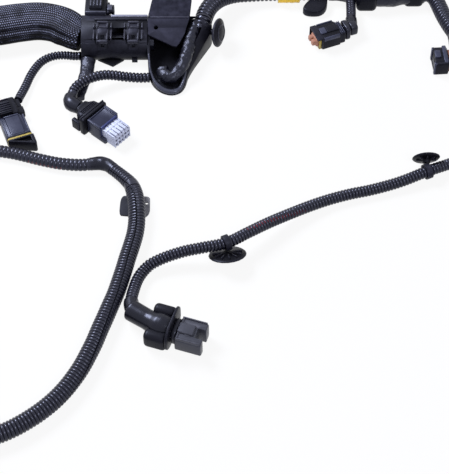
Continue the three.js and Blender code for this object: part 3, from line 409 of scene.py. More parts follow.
def ring_places(points, radii, turns=None, sky=SKY):
    """A matrix for each point that stands a unit ring across the route: its X looks up, its Z runs along."""
    places = []
    for k, point in enumerate(points):
        before, after = points[max(0, k - 1)], points[min(len(points) - 1, k + 1)]
        forward = (after - before).normalized()
        up = (sky - sky.dot(forward) * forward).normalized()
        side = forward.cross(up)
        turn = Matrix((up, side, forward)).transposed().to_4x4()
        if turns:
            turn = turn @ Matrix.Rotation(turns[k], 4, "Z")
        radius = radii[k]
        stretch = radius if isinstance(radius, tuple) else (radius, radius)
        places.append(Matrix.Translation(point) @ turn @ Matrix.Diagonal((*stretch, 1, 1)))
    return places


def extrude_ring(name, outline, points, radii, grooves=None, turns=None, sky=SKY, shift=None):
    """A closed tube: `outline` is a list of (x, y) about a unit circle, extruded along the points."""
    bm = bmesh.new()
    along, around, groove, slit = [bm.verts.layers.float.new(n) for n in ("along", "around", "groove", "slit")]
    ring = [bm.verts.new((x, y, 0)) for x, y in outline]
    for k, vert in enumerate(ring):
        vert[around] = k / len(ring)
        vert[slit] = 1.0 if outline[k][0] ** 2 + outline[k][1] ** 2 < 0.8 else 0.0
    bm.faces.new(ring)
    places = ring_places(points, radii, turns, sky)
    bmesh.ops.transform(bm, matrix=places[0], verts=ring)
    rim = list(bm.edges)
    travelled = 0.0
    for k in range(1, len(points)):
        travelled += (points[k] - points[k - 1]).length
        grown = bmesh.ops.extrude_edge_only(bm, edges=rim)["geom"]
        ring = [g for g in grown if isinstance(g, bmesh.types.BMVert)]
        rim = [g for g in grown if isinstance(g, bmesh.types.BMEdge)]
        bmesh.ops.transform(bm, matrix=places[k] @ places[k - 1].inverted(), verts=ring)
        for vert in ring:
            vert[along] = travelled
            # Slit points count as groove, so the slit gets the grooves' painted shade.
            vert[groove] = max(grooves[k], vert[slit]) if grooves else 0.0
    bmesh.ops.edgeloop_fill(bm, edges=rim)
    for vert in bm.verts if shift else ():
        vert.co += shift(vert.co)
    return finish_mesh(bm, name)


def finish_mesh(bm, name, sharp_above=50):
    """Turns a bmesh into a piece with smooth shading, broken at its sharp edges."""
    bmesh.ops.recalc_face_normals(bm, faces=bm.faces)
    mesh = bpy.data.meshes.new(name)
    bm.to_mesh(mesh)
    bm.free()
    piece = bpy.data.objects.new(name, mesh)
    bpy.context.scene.collection.objects.link(piece)
    mesh.shade_smooth()
    mesh.set_sharp_from_angle(angle=math.radians(sharp_above))
    return piece


def dress(piece, slot, *replaced, finish=None):
    """The piece gets its finish, rides on the harness, and stands for the solids it replaces."""
    piece.data.materials.clear()
    piece.data.materials.append(finish or finishes[slot])
    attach(piece, "root")
    if replaced:
        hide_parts(*replaced)
    return piece


# %% [markdown]
# One rib of a conduit is five rings: two on its crest, one on each shoulder, and one down in the groove behind it.
# Smooth shading rounds them. The main conduit is slit along its top so that wires can be laid in: its outline has
# two points close together that lie deeper, and these count as groove, so the slit gets the grooves' painted shade.
# Two thinner conduits show a red wire through their slits, so their meshes carry its course.

# %% Ribbed conduits
def circle_outline(sides):
    return [(math.cos(2 * math.pi * k / sides), math.sin(2 * math.pi * k / sides)) for k in range(sides)]


def slit_outline(sides, half_width=0.085, depth=0.22):
    """A circle with a narrow slit at its start, where the ring looks up."""
    angles = [half_width + (2 * math.pi - 2 * half_width) * k / (sides - 1) for k in range(sides)]
    rim = [(math.cos(a), math.sin(a)) for a in angles]
    inner = [(0.99 - depth, -0.03), (0.99 - depth, 0.03)]
    return rim + inner


RIB_PROFILE = (0.22, 0.0, 0.0, 0.22, 1.0)
WIRE_WIDTH = 0.045


def ribbed_conduit(name, route, diameter, pitch, depth, sides=20, narrow=None, slit_turns=None, smooth_spans=()):
    """Ribs along a route. `narrow` maps metres travelled to a share of the full radius."""
    _, length = smooth_route(route, pitch)
    ribs = round(length / pitch)
    points, _ = smooth_route(route, length / (ribs * len(RIB_PROFILE)))
    radii, grooves, turns = [], [], []
    for k in range(len(points)):
        place = length * k / (len(points) - 1)
        sunk = RIB_PROFILE[k % len(RIB_PROFILE)] if 1 < k < len(points) - 2 else 0.0
        if any(start < place < end for start, end in smooth_spans):
            sunk = 0.0
        size = diameter / 2 * (narrow(place) if narrow else 1.0)
        radii.append(size - depth * sunk)
        grooves.append(max(0.0, 2 * sunk - 1))
        turns.append(slit_turns(place / length) if slit_turns else 0.0)
    outline = slit_outline(sides) if slit_turns else circle_outline(sides)
    return extrude_ring(name, outline, points, radii, grooves, turns), length, points


def interpolate(table):
    """A function that reads between the (place, value) pairs of a table."""
    def read(at):
        for (a, u), (b, v) in zip(table, table[1:]):
            if at <= b:
                return u + (v - u) * (at - a) / (b - a)
        return table[-1][1]
    return read


def show_wire(piece, course, share):
    """Marks the grooves where a red wire shows through the slit. `course` maps metres travelled to the place
    round the ring, 0 at its top, and the wire runs from its first pair to its last."""
    mesh = piece.data
    mesh.attributes.new("red_wire", "FLOAT", "POINT")
    along, around, groove, wire = (mesh.attributes[n].data for n in ("along", "around", "groove", "red_wire"))
    middle, strength = interpolate(course), interpolate(share)
    for k in range(len(mesh.vertices)):
        place = along[k].value
        if course[0][0] < place < course[-1][0] and groove[k].value > 0.5:
            off = (around[k].value - middle(place) + 0.5) % 1 - 0.5
            wire[k].value = strength(place) if abs(off) < WIRE_WIDTH else 0.0


def lay_conduit(name, route, diameter, pitch, depth, far_end, carries, **extra):
    """A ribbed conduit laid along a route, with the conduit finish. `carries` names the solids that sit on it; it is
    not used.
    """
    piece, length, points = ribbed_conduit(name, route, diameter, pitch, depth, **extra)
    dress(piece, "conduit", name.replace("ribbed_", ""))
    print(name, "faces:", len(piece.data.polygons), "length:", round(length, 3))
    return piece


# %% Lay the conduits
main_squeeze = interpolate([(0, 0.765), (0.016, 0.8), (0.044, 1.0), (1, 1.0)])
main_slit = interpolate([(0, 0.45), (0.07, 0.35), (0.13, 0.0), (0.3, -0.05), (0.45, -0.2), (0.6, -0.55), (0.72, -1.0),
                         (0.82, -1.5), (1, -1.9)])
SMOOTH_WRAP = (0.028, 0.0365)

left_conduit = lay_conduit("ribbed_left_conduit", LEFT_ROUTE, 0.013, 0.0043, 0.0008, "object", "junction_tape")
show_wire(left_conduit, [(0.222, 0.19), (0.262, 0.18)], [(0.222, 0.65), (0.262, 0.5)])
lay_conduit("ribbed_main_conduit", MAIN_ROUTE, 0.0175, 0.0034, 0.0012, "connector", "main_end_connector plate_clip",
            sides=26, narrow=main_squeeze, smooth_spans=(SMOOTH_WRAP,), slit_turns=main_slit)
right_conduit = lay_conduit("ribbed_right_conduit", RIGHT_ROUTE, 0.012, 0.0034, 0.0012, "connector",
                            "right_end_connector front_clip_disc front_clip_strap side_clip_disc side_clip_strap "
                            "yoke_plug_boot yoke_plug_flange yoke_plug_seal yoke_plug_housing")
show_wire(right_conduit, [(0.15, -0.12), (0.18, -0.04), (0.222, 0.11)],
          [(0.15, 0.65), (0.19, 0.6), (0.222, 0.3)])
lay_conduit("ribbed_thin_conduit", THIN_ROUTE, 0.0095, 0.0034, 0.0014, "connector",
            "left_plug_lock left_plug_housing left_plug_seal left_plug_shroud")
lay_conduit("ribbed_side_conduit", SIDE_ROUTE, 0.011, 0.0039, 0.0013, "connector",
            "multiway_elbow multiway_cover multiway_latch multiway_lock multiway_housing multiway_insert")
lay_conduit("ribbed_upper_conduit", UPPER_ROUTE, 0.02, 0.0047, 0.0019, "object", "yellow_band", sides=26)

# %% [markdown]
# The upper conduit doesn't stop where it enters the scoop: its last centimetre shows inside the mouth. That end is a
# short tube of its own, which goes on in the conduit's direction and sinks a little.

# %% End of the upper conduit in the scoop
END_DISTANCES = (-1, 4, 9, 13)
END_DROP = Vector((0, 0, -0.25))
mouth, outside = Vector(UPPER_ROUTE[0]), Vector(UPPER_ROUTE[1])
inward = (mouth - outside).normalized()
end_route = [mouth + inward * distance + END_DROP * distance for distance in END_DISTANCES]
conduit_end, end_length, _ = ribbed_conduit("conduit_end_in_scoop", end_route, 0.0192, 0.0047, 0.0019, sides=26)
dress(conduit_end, "conduit")
print("end inside the scoop:", round(end_length, 4), "m")

# %% [markdown]
# The trunk is a thick bundle in a braided sleeve. It lies flat, its sides sag, and lengthwise folds run in the
# cloth. The ring that is extruded is an oval with shallow folds, narrower towards the duct. The braid's pattern
# follows the around and along values, so its rows of flecks run down the trunk and bend with it.

# %% Braided trunk
TRUNK_ROUTE = [
    (-160, 18, 17.6), (-146, 18.3, 17.6), (-128, 20.3, 17.6), (-106, 24.8, 17.6), (-84, 27, 17.6),
    (-64, 22.5, 17.6), (-51, 14.2, 17.6), (-43.5, 8.3, 17.4), (-39.6, 5.6, 17.3), (-36.2, 4.4, 17.2),
]
UPRIGHT = Vector((0, 0, 1))


def folded_oval(sides, folds, depth):
    ring = []
    for angle in (2 * math.pi * k / sides for k in range(sides)):
        dip = 1 - depth * (0.5 + 0.5 * math.cos(folds * angle + 1.3 * math.sin(2 * angle))) ** 3
        ring.append((math.sin(angle) * dip, math.cos(angle) * dip))
    return ring


trunk_points, trunk_length = smooth_route(TRUNK_ROUTE, 0.003)
trunk_width = interpolate([(-0.16, 0.054), (-0.052, 0.046), (-0.036, 0.036)])
trunk_height = interpolate([(-0.16, 0.034), (-0.056, 0.034), (-0.036, 0.0295)])
trunk_sizes = [(trunk_height(p.x) / 2, trunk_width(p.x) / 2) for p in trunk_points]
braided_trunk = extrude_ring("braided_trunk", folded_oval(96, 9, 0.09), trunk_points, trunk_sizes, sky=UPRIGHT)
dress(braided_trunk, "braid", "trunk", "trunk_collar")
print("trunk:", round(trunk_length, 3), "m long,", len(braided_trunk.data.polygons), "faces")

# %% [markdown]
# Taped pieces are never smooth: the tape is wound by hand over wires, so it creases and bulges. A tube is
# extruded along the route, and then each corner is moved a little along a noise field, which lumps the surface
# before the tape's own fine creases are added by its material.

# %% Taped tube, taped branch and junction tape
TAPED_ROUTE = [
    (53, -39, 9), (55.5, -45.5, 9), (63.5, -48.5, 9.4), (71.5, -41, 12.5), (77, -30, 16), (80.5, -16.5, 19),
    (84, 0, 21.5), (87.6, 12, 23), (90.4, 18, 23.4),
]
BRANCH_ROUTE = [(-29, -20.6, 6.2), (-29.3, -31, 5.0), (-31, -45, 4.5), (-33, -58, 4.4), (-35.3, -68, 3.9),
                (-34.8, -76, 3.5)]
JUNCTION_ROUTE = [(-18.6, -169.4, 7.2), (-9, -168.5, 7.5), (-1.5, -170.6, 7.8), (2.4, -173.6, 7.9),
                  (5.3, -176.5, 8)]


def lumps(amount, scale):
    def push(place):
        return Vector([amount * noise.noise(place * scale + Vector((7.3 * axis, 0, 0))) for axis in range(3)])
    return push


def taped_piece(name, route, radii, slot, *replaced, lump, scale=170, sides=32, finish=None):
    """`radii` maps the share of the route to a radius, and `lump` is how far a corner may move, both in metres."""
    points, length = smooth_route(route, 0.0012)
    sizes = [radii(k / (len(points) - 1)) for k in range(len(points))]
    piece = extrude_ring(name, circle_outline(sides), points, sizes, sky=UPRIGHT, shift=lumps(lump, scale))
    print(name, "length:", round(length, 3))
    return dress(piece, slot, *replaced, finish=finish)


taped_piece("wound_taped_tube", TAPED_ROUTE, lambda share: 0.0071, "tape", "taped_tube", lump=0.001, scale=230)
branch_width = interpolate([(0, 0.0083), (0.4, 0.0074), (0.8, 0.0062), (1, 0.0053)])
branch_height = interpolate([(0, 0.0058), (0.2, 0.0046), (0.6, 0.0041), (1, 0.0032)])
taped_piece("wound_taped_branch", BRANCH_ROUTE, lambda share: (branch_height(share), branch_width(share)), "tape",
            "taped_branch", lump=0.0006)
junction_size = interpolate([(0, 0.0069), (0.5, 0.0074), (1, 0.0067)])
taped_piece("wound_junction_tape", JUNCTION_ROUTE, junction_size, "tape", "junction_tape", lump=0.0004,
            finish=finishes["rubber"])

# %% [markdown]
# The yoke plug's boot is soft rubber: it starts as a collar round the conduit, steps out to a thick sleeve, and
# bulges where it turns into the plug. One extruded ring with a radius for each place makes that shape.

# %% Boot of the yoke plug
BOOT_ROUTE = [
    (29.4, -352.7, 11), (36.5, -357.8, 11.3), (44, -363.2, 11.8), (52, -368.6, 12.2), (58, -372.2, 12.5),
    (63, -374.3, 12.6), (69.7, -376.5, 12.6),
]
MOUTH_ROUTE = [(30.4, -342.4, 9.8), (30.6, -347, 10.2), (32.4, -352.5, 10.8), (36.0, -356.5, 11.2)]
boot_size = interpolate([(0, 0.0086), (0.02, 0.0099), (0.05, 0.0104), (0.45, 0.0101), (0.58, 0.011), (0.7, 0.0129),
                         (0.8, 0.0132), (0.9, 0.0125), (1, 0.0112)])
taped_piece("moulded_yoke_boot", BOOT_ROUTE, boot_size, "rubber", "yoke_plug_boot", lump=0.0002, scale=90, sides=40)
taped_piece("yoke_boot_mouth", MOUTH_ROUTE, interpolate([(0, 0.0071), (1, 0.0083)]), "rubber", lump=0.0001)

# %% [markdown]
# No moulded edge is sharp: the mould's corners and the polish round them off, and that thin round is what catches
# the light on a black part. The solids that stay have sharp facets, so each gets a softened twin: a copy whose
# doubled corners are merged, whose flat triangles are joined to whole faces, and whose sharp edges are bevelled. The
# number before the names is the bevel in metres. Thin nylon lets light through, and two pieces get that light as
# painted light: they are painted paler to one side.

# %% Softened twins of the moulded solids
SLOT_OF = {part["node"]: part["material_slot"] for part in frame["record"]["subparts"]}
FLAT_WITHIN = math.radians(1.5)
SHARP_FROM = math.radians(30)


def softened(node_name, edge, finish=None):
    bm = bmesh.new()
    bm.from_mesh(nodes[node_name].data)
    bmesh.ops.remove_doubles(bm, verts=bm.verts, dist=1e-6)
    bmesh.ops.dissolve_limit(bm, angle_limit=FLAT_WITHIN, verts=bm.verts, edges=bm.edges)
    sharp = [e for e in bm.edges if e.is_manifold and e.calc_face_angle(0) > SHARP_FROM]
    bmesh.ops.bevel(bm, geom=sharp, offset=edge, offset_type="OFFSET", segments=2, profile=0.5,
                    affect="EDGES", clamp_overlap=True, material=-1)
    return dress(finish_mesh(bm, "soft_" + node_name, 40), SLOT_OF[node_name], node_name, finish=finish)


SOFT_EDGES = {
    0.0003: "duct_bundle multiway_elbow two_pin_boot front_clip_disc side_clip_disc",
    0.0004: "side_clip_stem multiway_insert edge_plug_boot",
    0.0005: "left_plug_seal two_pin_seal edge_plug_ring plate_clip front_clip_strap side_clip_strap",
    0.0006: "duct_tray duct_cover scoop rear_plug_latch branch_cap",
    0.0007: "guide_plate multiway_latch two_pin_collar main_end_connector right_end_connector",
    0.0008: "rear_plug_housing side_clip_cap trunk_connector trunk_breakout multiway_lock multiway_housing "
            "left_plug_shroud yoke_plug_seal two_pin_insert edge_plug_shroud",
    0.0009: "multiway_cover left_plug_lock left_plug_housing two_pin_housing",
    0.002: "yoke_plug_housing",
}
own_finish = {
    "yoke_plug_housing": moulded_finish("yoke_housing_grey", (0.026, 0.027, 0.034), (0.15, 0.15, 0.18), 0.34,
                                        specular=0.28),
    # Painted light: the guide plate and the thin clip turn paler to one side, as if light shone through thin nylon.
    "guide_plate": moulded_finish("dull_plate", (0.001, 0.001, 0.002), (0.05, 0.05, 0.075), 0.6, specular=0.03,
                                  dust=0.01, paler=("Y", 0.015, 0.0125, (0.016, 0.016, 0.023))),
    "plate_clip": moulded_finish("thin_clip_nylon", (0.006, 0.006, 0.008), (0.1, 0.1, 0.12), 0.45,
                                 specular=0.08, dust=0.02, paler=("X", 0.032, 0.038, (0.26, 0.26, 0.265))),
}
for edge, names in SOFT_EDGES.items():
    for node_name in names.split():
        softened(node_name, edge, own_finish.get(node_name))
    print("softened by", round(edge / MM, 1), "mm:", len(names.split()))

# %% [markdown]
# Small mouldings such as ribs, rails, lobes and slats are blocks with rounded edges. A block starts as a cube,
# is stretched to its corners in its plug's own frame, and its edges are bevelled. Blocks of one plug that share
# a finish are built into one piece, so that the plug stays easy to read.

# %% Helpers for rounded blocks
def plug_frame(x, y, heading):
    return Matrix.Translation((x * MM, y * MM, 0)) @ Matrix.Rotation(math.radians(heading), 4, "Z")


def rounded_block(bm, place, x, y, z, edge=0.5, corner=0.0, segments=2):
    """A block between two numbers on each axis, in millimetres. `corner` rounds the edges along X first."""
    def bevel(edges, offset, steps):
        return bmesh.ops.bevel(bm, geom=edges, offset=offset * MM, offset_type="OFFSET", segments=steps, profile=0.5,
                               affect="EDGES", clamp_overlap=True, material=-1)["verts"]

    def edges_at(verts):
        return {e for v in verts for e in v.link_edges}

    middle = Vector((sum(x), sum(y), sum(z))) * (MM / 2)
    size = Vector((x[1] - x[0], y[1] - y[0], z[1] - z[0])) * MM
    stretch = Matrix.Translation(middle) @ Matrix.Diagonal((*size, 1))
    verts = bmesh.ops.create_cube(bm, size=1.0, matrix=stretch)["verts"]
    if corner:
        lengthwise = [e for e in edges_at(verts) if abs((e.verts[0].co - e.verts[1].co).x) > size.x * 0.9]
        grown = bevel(lengthwise, corner, 7)
        verts = list({v for v in verts if v.is_valid} | set(grown))
    rounded = bevel([e for e in edges_at(verts) if e.calc_face_angle(0) > math.radians(35)], edge, segments)
    verts = list({v for v in verts if v.is_valid} | set(rounded))
    bmesh.ops.transform(bm, matrix=place, verts=verts)


def block_piece(name, slot, place, blocks, *replaced, finish=None):
    """One piece of several blocks. Each is its spans along x, y and z, and then its edge, corner and segments."""
    bm = bmesh.new()
    for block in blocks:
        rounded_block(bm, place, *block)
    return dress(finish_mesh(bm, name), slot, *replaced, finish=finish)


# %% [markdown]
# The yoke plug's flange is a thick oval with a lobe on each side of the boot, where it is gripped to pull the
# plug. Behind it sits a soft seal, and the forked housing has a raised spine and shallow side rails.

# %% Flange and housing details of the yoke plug
yoke = plug_frame(62, -374, -18)
block_piece("yoke_flange_lobes", "moulded", yoke, [
    ((8.3, 10.9), (-21.5, 20.5), (0.2, 31.2), 0.9, 12),
    ((-13.5, 8.6), (8.0, 19.6), (2.5, 24.5), 4.2, 5.2, 5),
    ((-14.0, 8.6), (-20.6, -8.6), (0.7, 20.5), 4.2, 5.2, 5),
], "yoke_plug_flange")
block_piece("yoke_housing_rails", "grey_moulded", yoke, [
    ((16.6, 41), (-14.9, -13.4), (19.4, 22.7)), ((16.6, 41), (9.8, 11.3), (19.4, 22.7)),
    ((17.0, 19), (-13.6, 10), (21.4, 22.8)), ((24, 30), (-9, -7.6), (21.4, 22.5)),
], finish=own_finish["yoke_plug_housing"])
print("yoke plug dressed")

# %% [markdown]
# The multiway plug's insert is a comb of white slats. Dark blocks under the slats and in the cavities where the
# terminals sit are painted shade. The housing has raised rims along its sides and a blue seal at its mouth, and
# the cover carries low ribs for the thumb.

# %% Slats, seal and ribs of the multiway plug
multiway = plug_frame(-33, -95, -41)
PITCH = 4.4
slats = []
for k in range(6):
    y = (k - 2.5) * PITCH
    outer = 0.9 if k in (0, 5) else 0.0
    slats.append(((43.8, 60.4), (max(-11.3, y - 1.7 + outer), min(11.3, y + 1.7 - outer)), (17.2, 18.9), 0.4))
    slats.append(((60.8, 62.0), (max(-11.4, y - 0.7), min(11.4, y + 0.7)), (3.0, 17.4), 0.3))
slats.append(((48.6, 50.0), (-11.2, 11.2), (17.4, 19.2), 0.3))
pale_slats = moulded_finish("pale_slats", (0.4, 0.43, 0.53), (0.78, 0.8, 0.9), 0.35, dust=0.0)
block_piece("multiway_slats", "insert", multiway, slats, finish=pale_slats)
# Painted shade: dark blocks under the slats and inside the terminal cavities, where shade falls.
painted_shade_finish = moulded_finish("painted_shade_finish", (0.035, 0.038, 0.06), (0.2, 0.21, 0.28), 0.5, dust=0.0)
painted_shade_blocks = [((44, 60.6), (-10.6, 10.6), (15.0, 18.0), 0.3)]
painted_shade_blocks += [((56, 61.55), ((k - 2) * PITCH - 1.25, (k - 2) * PITCH + 1.25), (z, z + 2.4), 0.3)
         for k in range(5) for z in (5.35, 11.15)]
block_piece("multiway_painted_shade", "insert", multiway, painted_shade_blocks, finish=painted_shade_finish)
blue_seal = moulded_finish("blue_seal", (0.01, 0.015, 0.07), (0.04, 0.06, 0.2), 0.35, dust=0.0)
block_piece("multiway_seal", "insert", multiway, [
    ((41.6, 43.9), (-12.6, 12.6), (8.6, 21.0), 0.5, 2)], finish=blue_seal)
cover_ribs = [((19.2, 20.6), (-18.6, 15.6), (23.6, 25.1), 0.4)]
cover_ribs += [((x, x + 1.1), (-9.5, 9.5), (18.8, 20.9), 0.4) for x in (9.6, 11.6, 13.4)]
block_piece("multiway_ribs", "moulded", multiway, cover_ribs)
block_piece("multiway_housing_rims", "grey_moulded", multiway, [
    ((25, 42.6), (11.4, 13.9), (19.6, 22.3)), ((25, 42.6), (-13.9, -11.4), (19.6, 22.3)),
    ((24.6, 26.0), (-12, 12), (19.9, 21.6)),
])
print("multiway slats:", len(slats))

# %% [markdown]
# The left plug lies flat. Its lock collar is a comb of ridges for the fingers, and its housing has a sunk panel
# between two rails, with the yellow seal showing as a line before the dark mouth.

# %% Ridges and rails of the left plug
left_plug = plug_frame(-110.7, -94.7, -68.5)
lock_ridges = [((x, x + 1.5), (-14.5, 3.5), (14.2, 16.6 if x < -4 else 19.3), 0.45) for x in
               (-8.4, -5.6, -1.2, 1.8, 4.8, 7.8, 10.6)]
lock_ridges += [((-9.0, 2.0), (4.4, 5.8), (8.0, 13.4)), ((5.0, 12.0), (7.4, 8.6), (8.0, 14.8))]
block_piece("left_plug_ridges", "moulded", left_plug, lock_ridges)
block_piece("left_plug_rails", "grey_moulded", left_plug, [
    ((18, 43.4), (11.4, 13.2), (12.8, 15.6)), ((18, 43.4), (-12.2, -10.4), (12.8, 15.6)),
    ((42.0, 43.8), (-12, 13), (13.0, 15.2)), ((16.2, 17.8), (-8, 8), (14.0, 16.6)),
])
print("left plug ridges:", len(lock_ridges))

# %% [markdown]
# Each umbrella clip seals a hole in sheet metal: a springy disc, with fins that stiffen it, stands on a stem that
# grips the hole. The fins fan out from the stem over the side of the disc that shows.

# %% Fins of the umbrella clips
def clip_fins(name, centre, stem, count, reach):
    """Fins over half a turn round the stem, which points from the clip's centre along `stem`, in millimetres."""
    bm = bmesh.new()
    tilt = Matrix.Translation(Vector(centre) * MM) @ Vector(stem).to_track_quat("Z", "Y").to_matrix().to_4x4()
    for k in range(count):
        place = tilt @ Matrix.Rotation(math.pi * k / (count - 1), 4, "Z")
        rounded_block(bm, place, (2.2, reach), (-0.7, 0.7), (1.2, 4.4))
    print(name, "fins:", count)
    return dress(finish_mesh(bm, name), "moulded")


clip_fins("front_clip_fins", (123, -287, 8.6), (-1, 6.5, 11.9), 7, 15.0)
clip_fins("side_clip_fins", (327.4, -166.2, 14.6), (0.6, -14.8, -4.8), 5, 10.5)

# %% [markdown]
# The duct's buckles are hooks that snap over bars. Each has a frame that stands proud of the strap, with a bar on
# each side of it; its edges are lighter, partly from wear and partly as a painted highlight. The lid has a pale
# strip along its back edge, a painted highlight, and the guide plate's fold has a paler strip too.

# %% Buckle frames and lid edge of the duct
AS_PLACED = Matrix.Identity(4)
BUCKLE_MIDDLES = (-12.5, 21.0)


def buckle_blocks(middle):
    def bar(off, half_width, *spans):
        return (middle + off - half_width, middle + off + half_width), *spans

    blocks = []
    for off in (-5.2, 5.2):
        blocks += [bar(off, 1.1, (-15.8, 1.6), (29.6, 33.2), 0.6), bar(off, 1.1, (0.6, 7.2), (32.0, 36.2), 0.6)]
    blocks += [bar(0, 6, (-17.4, -14.6), (27.2, 31.8), 0.7), bar(0, 6, (0.2, 2.0), (32.6, 35.4), 0.6),
               bar(0, 6, (6.2, 8.6), (33.4, 37.2), 0.7)]
    for off in (-9.4, 9.4):
        blocks += [bar(off, 1.0, (-14.0, 1.4), (28.6, 32.4), 0.8), bar(off, 1.0, (0.4, 7.8), (32.0, 35.4), 0.8)]
    return blocks


# Its edges are lightened strongly: partly wear, partly a painted highlight.
buckle_wear_and_highlight = moulded_finish("buckle_wear_and_highlight", (0.0024, 0.0024, 0.0042), (0.09, 0.09, 0.125), 0.26, wear_and_highlight=1.1,
                              specular=0.24)
buckles = [block for middle in BUCKLE_MIDDLES for block in buckle_blocks(middle)]
block_piece("duct_buckle_frames", "moulded", AS_PLACED, buckles, finish=buckle_wear_and_highlight)
# Painted highlight: a pale strip along the lid's back edge, where the light catches it.
lid_painted_highlight = moulded_finish("painted_lid_highlight", (0.1, 0.1, 0.135), (0.4, 0.41, 0.5), 0.35)
block_piece("duct_lid_edge", "moulded", AS_PLACED, [((-4, 35.8), (17.4, 20.3), (32.6, 34.9), 0.4)], finish=lid_painted_highlight)
# A paler strip along the guide plate's fold.
pale_fold_finish = moulded_finish("pale_fold_finish", (0.02, 0.02, 0.029), (0.1, 0.1, 0.14), 0.45, specular=0.1, dust=0.02)
block_piece("guide_plate_fold", "moulded", AS_PLACED, [((38.8, 81.4), (13.9, 16.0), (35.0, 36.8), 0.6)],
            finish=pale_fold_finish)
print("buckle bars:", len(buckles))

# %% [markdown]
# The short lead of the two-pin plug and the lead of the edge plug are ribbed like the conduits, only finer. They
# hold all the way between two mouldings, so they aren't loose cords. The bundle's sleeve is wound with tape. Its
# clamp and bracket are blocks with large round corners, which take their size from the solids that they replace.

# %% Ribbed leads and the wound sleeve
PIN_LEAD_ROUTE = [(262, 66.4, 9.4), (261.8, 56, 9), (261.5, 48, 9.2), (261, 40.2, 9.3)]
EDGE_LEAD_ROUTE = [(346.2, 76.9, 11.6), (351.5, 76.4, 11.4), (357, 70, 10.8), (360.5, 59, 10), (364.5, 44, 9.6),
                   (370, 28, 9.6), (374.4, 17, 9.7), (375.2, 10, 9.8)]
SLEEVE_ROUTE = [(237.6, 81, 10.8), (247, 81, 11.2), (260, 78.5, 11.8), (278, 75, 13.2), (298, 73.0, 14.4),
                (320, 74.6, 13.6), (344.5, 76.8, 11.6)]
for name, route, sizes, sides, replaced in (
        ("ribbed_pin_lead", PIN_LEAD_ROUTE, (0.011, 0.003, 0.0011), 20, "two_pin_lead"),
        ("ribbed_edge_lead", EDGE_LEAD_ROUTE, (0.018, 0.004, 0.0014), 26, "edge_plug_lead")):
    lead, length, _ = ribbed_conduit(name, route, *sizes, sides=sides)
    dress(lead, "conduit", replaced)
    print(name, "length:", round(length, 3))
sleeve_size = interpolate([(0, 0.0103), (0.25, 0.0112), (0.5, 0.0138), (0.66, 0.014), (0.78, 0.0124),
                           (1, 0.0105)])
taped_piece("wound_bundle_sleeve", SLEEVE_ROUTE, sleeve_size, "tape", "bundle_sleeve", lump=0.0009, scale=140)
for node_name in ("bundle_clamp", "bundle_bracket"):
    low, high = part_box(node_name)
    spans = [(low[axis] / MM, high[axis] / MM) for axis in range(3)]
    block_piece("rounded_" + node_name, "moulded", AS_PLACED, [(*spans, 5.5, 8, 6)], node_name)

# %% [markdown]
# The yellow band marks the upper conduit: a few turns of bright tape, wound a little unevenly. The two-pin plug's
# mouth has a thin dark shroud round its brown insert, and both small plugs carry grip ridges.

# %% Yellow band, two-pin shroud and edge plug ridges
BAND_ROUTE = [(180.4, 78.9, 12.9), (192, 79.1, 12.9), (204.6, 79.3, 12.9)]
bright_yellow = moulded_finish("bright_yellow_tape", (0.72, 0.45, 0.012), (0.9, 0.7, 0.1), 0.38, bump=0.3)
taped_piece("wound_yellow_band", BAND_ROUTE, lambda share: 0.0126, "yellow", "yellow_band", lump=0.0006, scale=240,
            finish=bright_yellow)
two_pin = plug_frame(250.2, 20.3, 202)
shiny_rubber = moulded_finish("shiny_rubber", (0.004, 0.004, 0.0066), (0.05, 0.05, 0.07), 0.22, specular=0.34)
block_piece("two_pin_shroud", "moulded", two_pin, [
    ((27.6, 34.6), (-11.7, 11.7), (16.9, 18.7), 0.6), ((27.6, 34.6), (-11.8, -10.4), (1.4, 18.4)),
    ((27.6, 30.0), (10.6, 11.9), (4.4, 18.4)), ((27.6, 33.0), (-11.6, 0), (0.3, 1.5), 0.4),
])
pin_ridges = [((1.0 + 2 * k, 2.0 + 2 * k), (-9.0, 9.0), (15.8, 17.6), 0.4) for k in range(3)]
pin_ridges += [((8, 27), (10.2, 11.9), (13.6, 18.8)), ((8, 27), (-11.9, -10.2), (13.6, 18.8)),
               ((20.5, 27.5), (-4.5, 4.5), (17.6, 19.6))]
block_piece("two_pin_ridges", "grey_moulded", two_pin, pin_ridges)
block_piece("two_pin_boot_rings", "rubber", two_pin, [
    ((-6.6, -1.2), (-9.4, 9.4), (0.8, 19.0), 1.6, 5.5, 4),
    ((-16.5, -8.2), (-6.6, 6.9), (2.4, 17.6), 1.6, 5.0, 4),
], finish=shiny_rubber)
edge_plug = plug_frame(365.6, -25, 184)
edge_ridges = [
    ((4.6, 9.0), (-12.2, 12.2), (19.2, 21.6), 0.8), ((11.5, 18.0), (-5.0, 5.0), (19.2, 22.4), 0.9),
    ((16.5, 19.6), (8.6, 12.8), (2.0, 19.0), 0.8), ((16.5, 19.6), (-12.8, -8.6), (2.0, 19.0), 0.8),
]
block_piece("edge_plug_ridges", "grey_moulded", edge_plug, edge_ridges)
print("small plugs dressed")

# %% [markdown]
# The scoop's mouth ends in a round bead that keeps the cut edge off the wires. It runs down one wall, round the
# front and up the other wall, and it is glossy and painted paler as a highlight, so it shows as a bright line. The
# plug behind the duct has grip ribs on its lid, with the same painted highlight. The oval clip's cap has a rolled rim
# and a smaller ring on its crown, whose pale edges are partly wear and partly a painted highlight. All three beads
# are rings that are extruded along a path.

